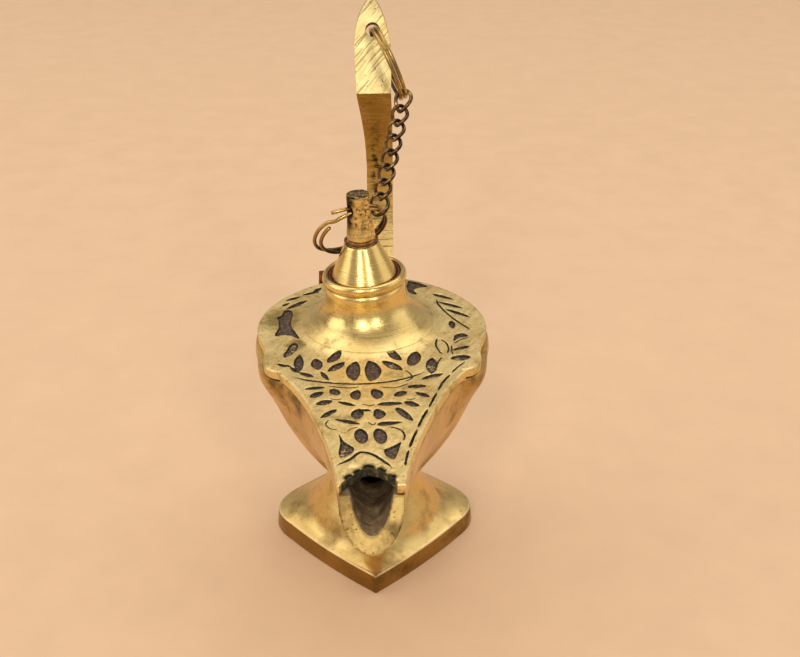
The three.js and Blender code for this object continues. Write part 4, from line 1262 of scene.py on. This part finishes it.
def neck():
    reach = np.concatenate([[NECK_SKIRT + 0.5], np.linspace(NECK_SKIRT, 14.2, 30)])
    foot = np.column_stack([reach, blended(neck_height(reach)) + 0.03])
    foot[0, 1] = -0.7
    h = np.linspace(foot[-1, 1] + 0.5, 13.2, 16)
    spread = NECK_FOOT_RADIUS - NECK_TOP_RADIUS
    r = NECK_TOP_RADIUS + spread * (1 - h / NECK_FLARE_HEIGHT) ** NECK_FLARE_POWER
    flare = np.vstack([foot, np.column_stack([r, h])])
    turn = np.linspace(-2.1, 1.9, 26)
    collar = np.column_stack([12.1 + 1.2 * np.cos(turn), 17.2 + 1.7 * np.sin(turn)])
    into = bezier([flare[-1], (12.6, 15.0), collar[0]], 6)[1:-1]
    rim = [(11.5, 18.45), (11.32, SEAT_HEIGHT + 0.15), (11.2, SEAT_HEIGHT), (NECK_BORE + 0.15, SEAT_HEIGHT),
           (NECK_BORE, SEAT_HEIGHT - 0.15), (NECK_BORE, -0.7)]
    verts, faces = lathe(np.vstack([flare, into, collar, rim]), 200)
    # the neck leans only above its foot, which stands square on the deck
    lean = smooth(verts[:, 2], 1.5, 6.0)[:, None]
    upright = verts + [NECK_X, 0, DECK_TOP]
    verts = upright * (1 - lean) + moved(verts, NECK) * lean
    obj = make("neck_turned", verts, faces, 40)
    tube_profile = [(NECK_BORE + 0.02, -4), (10.28, -4), (10.28, 1.2), (NECK_BORE + 0.02, 1.2)]
    verts, faces = lathe(tube_profile, 96)
    spigot = make("neck_spigot", verts + [NECK_X, 0, DECK_TOP], faces, 40)
    finish_piece(obj, "lamp", ["neck"], [deck_brass])
    finish_piece(spigot, "lamp", ["neck"], [neck_brass])


def bead(name, sides, count, spread, seed, section):
    """An uneven ring round the neck's axis. The section gives radius and height from the lumps."""
    t = np.linspace(0, TAU, sides, endpoint=False)
    rings = []
    for k in range(count):
        a = TAU * k / count
        across, up = spread
        lump = float(lattice([[math.cos(a) * across, math.sin(a) * across, up]], seed)[0])
        r, z = section(t, lump)
        rings.append(np.column_stack([r * math.cos(a), r * math.sin(a), z]))
    verts, faces = loft(np.array(rings)[:, ::-1], loop=True)
    return make(name, moved(verts, NECK), faces, 60)


def collar_residue():
    def section(t, lump):
        swell = 0.75 + 0.25 * lump
        return 10.92 + 0.36 * np.cos(t), SEAT_HEIGHT + 0.1 + 1.5 * swell * (0.5 + 0.5 * np.sin(t))

    obj = bead("collar_crust", 10, 220, (4, 0.5), 71, section)
    finish_piece(obj, "lamp", ["collar_residue"], [residue])


def lid_cone():
    seat = SEAT_HEIGHT + 0.3
    spigot = NECK_BORE - 0.4
    foot = seat - 5
    profile = [(0, seat - 1.5), (6.3, seat - 1.5), (6.3, foot + 0.2), (6.5, foot), (spigot - 0.25, foot),
               (spigot, foot + 0.25), (spigot, seat)]
    side = np.column_stack([np.linspace(10.3, 5.35, 20), np.linspace(seat + 0.75, CONE_TOP - 0.12, 20)])
    profile += [(10.15, seat), (10.36, seat + 0.12), (10.4, seat + 0.4)] + [tuple(p) for p in side]
    profile += [(5.15, CONE_TOP), (2.4, CONE_TOP), (2.4, CONE_TOP - 6), (0, CONE_TOP - 6)]
    verts, faces = lathe(profile, 180, closed=False)
    obj = make("lid_cone_turned", moved(verts, NECK), faces, 35)
    finish_piece(obj, "lid", ["lid_cone"], [lid_brass])


def lid_pin():
    foot = CONE_TOP + 0.3
    profile = [(0, CONE_TOP - 5.6), (1.9, CONE_TOP - 5.6), (2, CONE_TOP - 5.4), (2, foot), (3.85, foot),
               (4.05, foot + 0.15)]
    side = through([(4.05, foot + 1.0), (4.45, foot + 1.6), (4.28, foot + 3.6), (4.0, foot + 6),
                    (3.6, foot + 11),
                    (3.47, PIN_TOP - 0.6)], 7)
    top = rounded([(3.46, PIN_TOP - 0.6), (3.42, PIN_TOP), (2.6, PIN_TOP)], 0.35, closed=False)
    rings = [(2.0, PIN_TOP - 0.04), (1.2, PIN_TOP - 0.08), (0, PIN_TOP - 0.1)]
    verts, faces = lathe(np.vstack([profile, side, top, rings]), 120, closed=False)
    near_top = smooth(verts[:, 2], PIN_TOP - 1.2, PIN_TOP)
    verts[:, 2] -= 0.14 * near_top * (1 + rough(verts, 1.4, 81, 3))
    verts[:, :2] *= (1 - 0.012 * np.abs(rough(verts, 1.6, 83, 3)) * smooth(verts[:, 2], foot,
                                                                           foot + 1))[:, None]
    obj = make("lid_pin_turned", verts, faces, 35)
    reach = 8 * np.array([math.cos(PIN_HOLE_AZIMUTH), math.sin(PIN_HOLE_AZIMUTH), 0])
    middle = np.array([0, 0, PIN_HOLE_HEIGHT])
    boolean(obj, [bar(middle - reach, middle + reach, 2.2)], "DIFFERENCE")
    bevelled(obj, 0.16, 2, 50)
    set_coordinates(obj, moved(coordinates(obj), NECK))
    shade(obj, 38)
    centre, normal = face_data(obj)
    local = moved(centre, NECK.inverted())
    radial = (normal[:, :2] * local[:, :2]).sum(1)
    in_hole = ((np.abs(local[:, 2] - PIN_HOLE_HEIGHT) < 2.35) & (radial < 1.2)
               & (np.hypot(*local[:, :2].T) < 3.7))
    index = np.zeros(len(centre), int)
    index[local[:, 2] > PIN_TOP - 0.55] = 2
    index[in_hole] = 1
    finish_piece(obj, "lid", ["lid_pin"], [pin_brass, solder, pin_top], index)


def pin_solder():
    def section(t, lump):
        wave = 0.40 + 0.085 * lump
        return 4.95 + wave * np.cos(t), CONE_TOP + 0.9 + (wave - 0.02) * np.sin(t)

    obj = bead("pin_solder_bead", 12, 160, (3, 2.5), 91, section)
    finish_piece(obj, "lid", ["pin_solder_ring"], [solder])


# ---------------------------------------------------------------- handle and scroll

def handle_side():
    lean = unit(BLADE_TIP - BLADE_NOSE)
    back = np.array([lean[1], -lean[0]]) * HANDLE_THICKNESS
    inner = [BLADE_TIP, BLADE_NOSE]
    line = [np.array(inner)]
    line.append(bezier([BLADE_NOSE, (29, 143), (41, 133), (42.2, 116)], 26)[1:])
    line.append(bezier([(42.2, 116), (43.2, 102), (39.5, 93), (35.4, 85.5)], 22)[1:])
    line.append(bezier([(38.8, 83.6), (43.4, 91.5), (47.6, 102), (46.2, 116.5)], 22))
    line.append(bezier([(46.2, 116.5), (44.5, 134), (34.5, 143.5), BLADE_NOSE + back + [1.6, 1.5]], 26)[1:])
    line.append(np.array([BLADE_TIP + back]))
    return np.vstack(line)


def handle_front():
    return np.vstack([
        bezier([(1.3, 178), (-2.4, 174.5), (-4.3, 170), (-4.4, 164)], 16),
        bezier([(-4.0, 151), (-3.0, 143), (-1.3, 134), (-1.1, 120)], 16),
        [(-1.1, 80), (7.7, 80)],
        bezier([(7.7, 120), (7.7, 134), (7.2, 143), (6.9, 151)], 16),
        bezier([(7.2, 162), (6.6, 168), (5.0, 173.5), (1.3, 178)], 16)[:-1]])


def handle():
    side = handle_side()
    ring = np.column_stack([np.zeros(len(side)), side])
    obj = make("handle_forged", *loft([ring + [-15, 0, 0], ring + [15, 0, 0]]))
    front = handle_front()
    ring = np.column_stack([front[:, 0], np.zeros(len(front)), front[:, 1]])
    other = make("front", *loft([ring + [0, 75, 0], ring + [0, -5, 0]]))
    boolean(obj, [other], "INTERSECT")
    lean = unit(BLADE_TIP - BLADE_NOSE)
    normal = np.array([0, lean[1], -lean[0]])
    boolean(obj, [bar(BLADE_HOLE - 12 * normal, BLADE_HOLE + 12 * normal, 2.2, 48)], "DIFFERENCE")
    bevelled(obj, 0.35, 3, 24)
    shade(obj, 30)
    centre, n = face_data(obj)
    on_blade = (centre[:, 2] > 150.9) & (np.abs((centre - BLADE_HOLE) @ normal) < 3.4)
    index = np.where(on_blade, 0, 1)
    from_hole = np.linalg.norm(np.cross(centre - BLADE_HOLE, normal), axis=1)
    index[(from_hole < 2.25) & on_blade] = 2
    finish_piece(obj, "lamp", ["handle_strap"], [blade_brass, bar_brass, solder], index)


def scroll():
    middle = np.array([38.9, 79.2])
    steps = np.linspace(0, 1, 90)
    turn = -0.6 * math.pi + steps * 1.6 * TAU
    r = 4.1 - 1.9 * steps
    spoke = np.column_stack([np.cos(turn), np.sin(turn)])
    loop = np.vstack([middle + r[:, None] * spoke, (middle + (r[:, None] - 0.9) * spoke)[::-1]])
    rings = []
    for x in np.linspace(-18.5, 11.5, 40):
        shrink = 0.04 + 0.10 * abs(float(lattice([[x / 3, 0.3, 0.7]], 95)[0]))
        if x in (-18.5, 11.5):
            shrink += 0.12
        ring = middle + (loop - middle) * (1 - shrink / 4)
        rings.append(np.column_stack([np.full(len(ring), x), ring]))
    obj = make("root_scroll_rolled", *loft(rings), 50)
    finish_piece(obj, "lamp", ["root_scroll"], [scroll_metal])


# ---------------------------------------------------------------- rings and chain

def square_to(v, axis):
    v = np.asarray(v, float)
    return unit(v - (v @ axis) * axis)


def in_neck(v):
    return np.array(NECK.to_3x3() @ Vector(v))


PIN_HOLE = np.array(NECK @ Vector((0, 0, PIN_HOLE_HEIGHT)))
PIN_HOLE_ALONG = in_neck((math.cos(PIN_HOLE_AZIMUTH), math.sin(PIN_HOLE_AZIMUTH), 0))
LID_RING_DOWN = square_to((-0.168, 0.54, -0.825), PIN_HOLE_ALONG)
LID_RING_CENTRE = PIN_HOLE + LID_RING_DOWN * (RING_RADIUS + 0.3)
DOWN_BLADE = unit([0, *(BLADE_NOSE - BLADE_TIP)])
LEAN = math.radians(24)
HANDLE_RING_DOWN = unit(DOWN_BLADE * math.cos(LEAN) + np.array([1, 0, 0]) * math.sin(LEAN))
BLADE_NORMAL = unit([0, *(np.array([1, -1]) * (BLADE_TIP - BLADE_NOSE)[::-1])])
HANDLE_RING_ACROSS = square_to(BLADE_NORMAL, HANDLE_RING_DOWN)
HANDLE_RING_CENTRE = BLADE_HOLE + HANDLE_RING_DOWN * (RING_RADIUS + 0.2)


def split_ring(name, centre, down, across, start, splay, body, node):
    axis = np.cross(-down, across)
    swept = np.linspace(0, RING_TURNS * 360, 420)
    window = (2 - RING_TURNS) * 360
    loose = np.maximum(1 - swept / RING_BENT_SWEEP, 0) ** 2
    first_turn = smooth(swept, RING_PARTED_FROM, RING_PARTED_TO) * (1 - smooth(swept, 324, 350))
    last_turn = smooth(swept, RING_PARTED_FROM + 360, RING_PARTED_TO + 360)
    parted = RING_PARTED_SHARE * splay * (first_turn - last_turn)
    radius = RING_RADIUS + splay * loose + parted
    offset = RING_PITCH * (0.5 - smooth(swept, 360 - window, 360)) + RING_LIFTED_SHARE * splay * loose
    angle = np.radians(start + swept)
    path = (centre + (radius * np.cos(angle))[:, None] * -down + (radius * np.sin(angle))[:, None] * across
            + offset[:, None] * axis)
    obj = make(name, *tube(path, RING_WIRE / 2, 18, ends=0.3), 50)
    centre_f, normal = face_data(obj)
    from_middle = centre_f - centre
    flat = from_middle - (from_middle @ axis)[:, None] * axis
    outward = (normal * flat).sum(1) / np.maximum(np.linalg.norm(flat, axis=1), 1e-9)
    index = np.where(outward > 0.1, 0, 1)
    finish_piece(obj, body, [node], [ring_brass, ring_dark], index)


LAST_LINK = math.radians(40)
CHAIN_TOP = HANDLE_RING_CENTRE + HANDLE_RING_DOWN * RING_RADIUS
CHAIN_BOTTOM = LID_RING_CENTRE + RING_RADIUS * (
    PIN_HOLE_ALONG * math.sin(LAST_LINK) - LID_RING_DOWN * math.cos(LAST_LINK))
CHAIN_DOWN = unit(CHAIN_BOTTOM - CHAIN_TOP)
CHAIN_SIDE = unit(np.cross(CHAIN_DOWN, [0, 0, 1]))
CHAIN_FRONT = np.cross(CHAIN_DOWN, CHAIN_SIDE)


def chain():
    middle_all = (CHAIN_TOP + CHAIN_BOTTOM) / 2
    for number in range(1, LINK_COUNT + 1):
        first, last = number == 1, number == LINK_COUNT
        middle = middle_all + CHAIN_DOWN * LINK_PITCH * (number - (LINK_COUNT + 1) / 2)
        half_length = (LINK_PITCH + LINK_WIRE + LINK_PLAY) / 2 + (END_LINK_EXTRA if first or last else 0)
        half_width = END_LINK_HALF_WIDTH if first or last else LINK_HALF_WIDTH
        turn = np.linspace(0, TAU, 72, endpoint=False)
        share = (1 + np.cos(turn)) / 2
        low = -END_LINK_TWIST if first else -LINK_TWIST
        high = END_LINK_TWIST if last else LINK_TWIST
        twist = np.radians(low + (high - low) * share)
        side = half_width * np.sin(turn)
        path = (middle + (half_length * np.cos(turn))[:, None] * CHAIN_DOWN
                + (side * np.cos(twist))[:, None] * CHAIN_SIDE
                + (side * np.sin(twist))[:, None] * CHAIN_FRONT)
        path = respaced(path, 72, closed=True)
        obj = make(f"chain_wire_{number}", *tube(path, LINK_WIRE / 2, 14, closed=True), 60)
        centre, normal = face_data(obj)
        # faces turned up, forward and left towards the light, and the faces on one side of each link, get the
        # brighter wire: painted highlight
        lit = (normal @ unit([-0.75, -0.45, 0.5]) > 0.45) | ((centre - middle) @ CHAIN_SIDE > 0.9)
        index = np.where(lit, 1, 0)
        finish_piece(obj, f"link_{number}", [f"chain_link_{number}"], [chain_metal, highlight_wire],
                     index)


pedestal()
bowl()
deck()
neck()
collar_residue()
lid_cone()
lid_pin()
pin_solder()
handle()
scroll()
split_ring("lid_ring_wire", LID_RING_CENTRE, LID_RING_DOWN, PIN_HOLE_ALONG, -38, 2.2, "lid_ring",
           "lid_split_ring")
split_ring("handle_ring_wire", HANDLE_RING_CENTRE, HANDLE_RING_DOWN, HANDLE_RING_ACROSS, 100, 0,
           "handle_ring",
           "handle_split_ring")
chain()

for node, material in (("base_screw", steel), ("base_washer", fibre)):
    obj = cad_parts[node]
    obj.data.materials.clear()
    obj.data.materials.append(material)
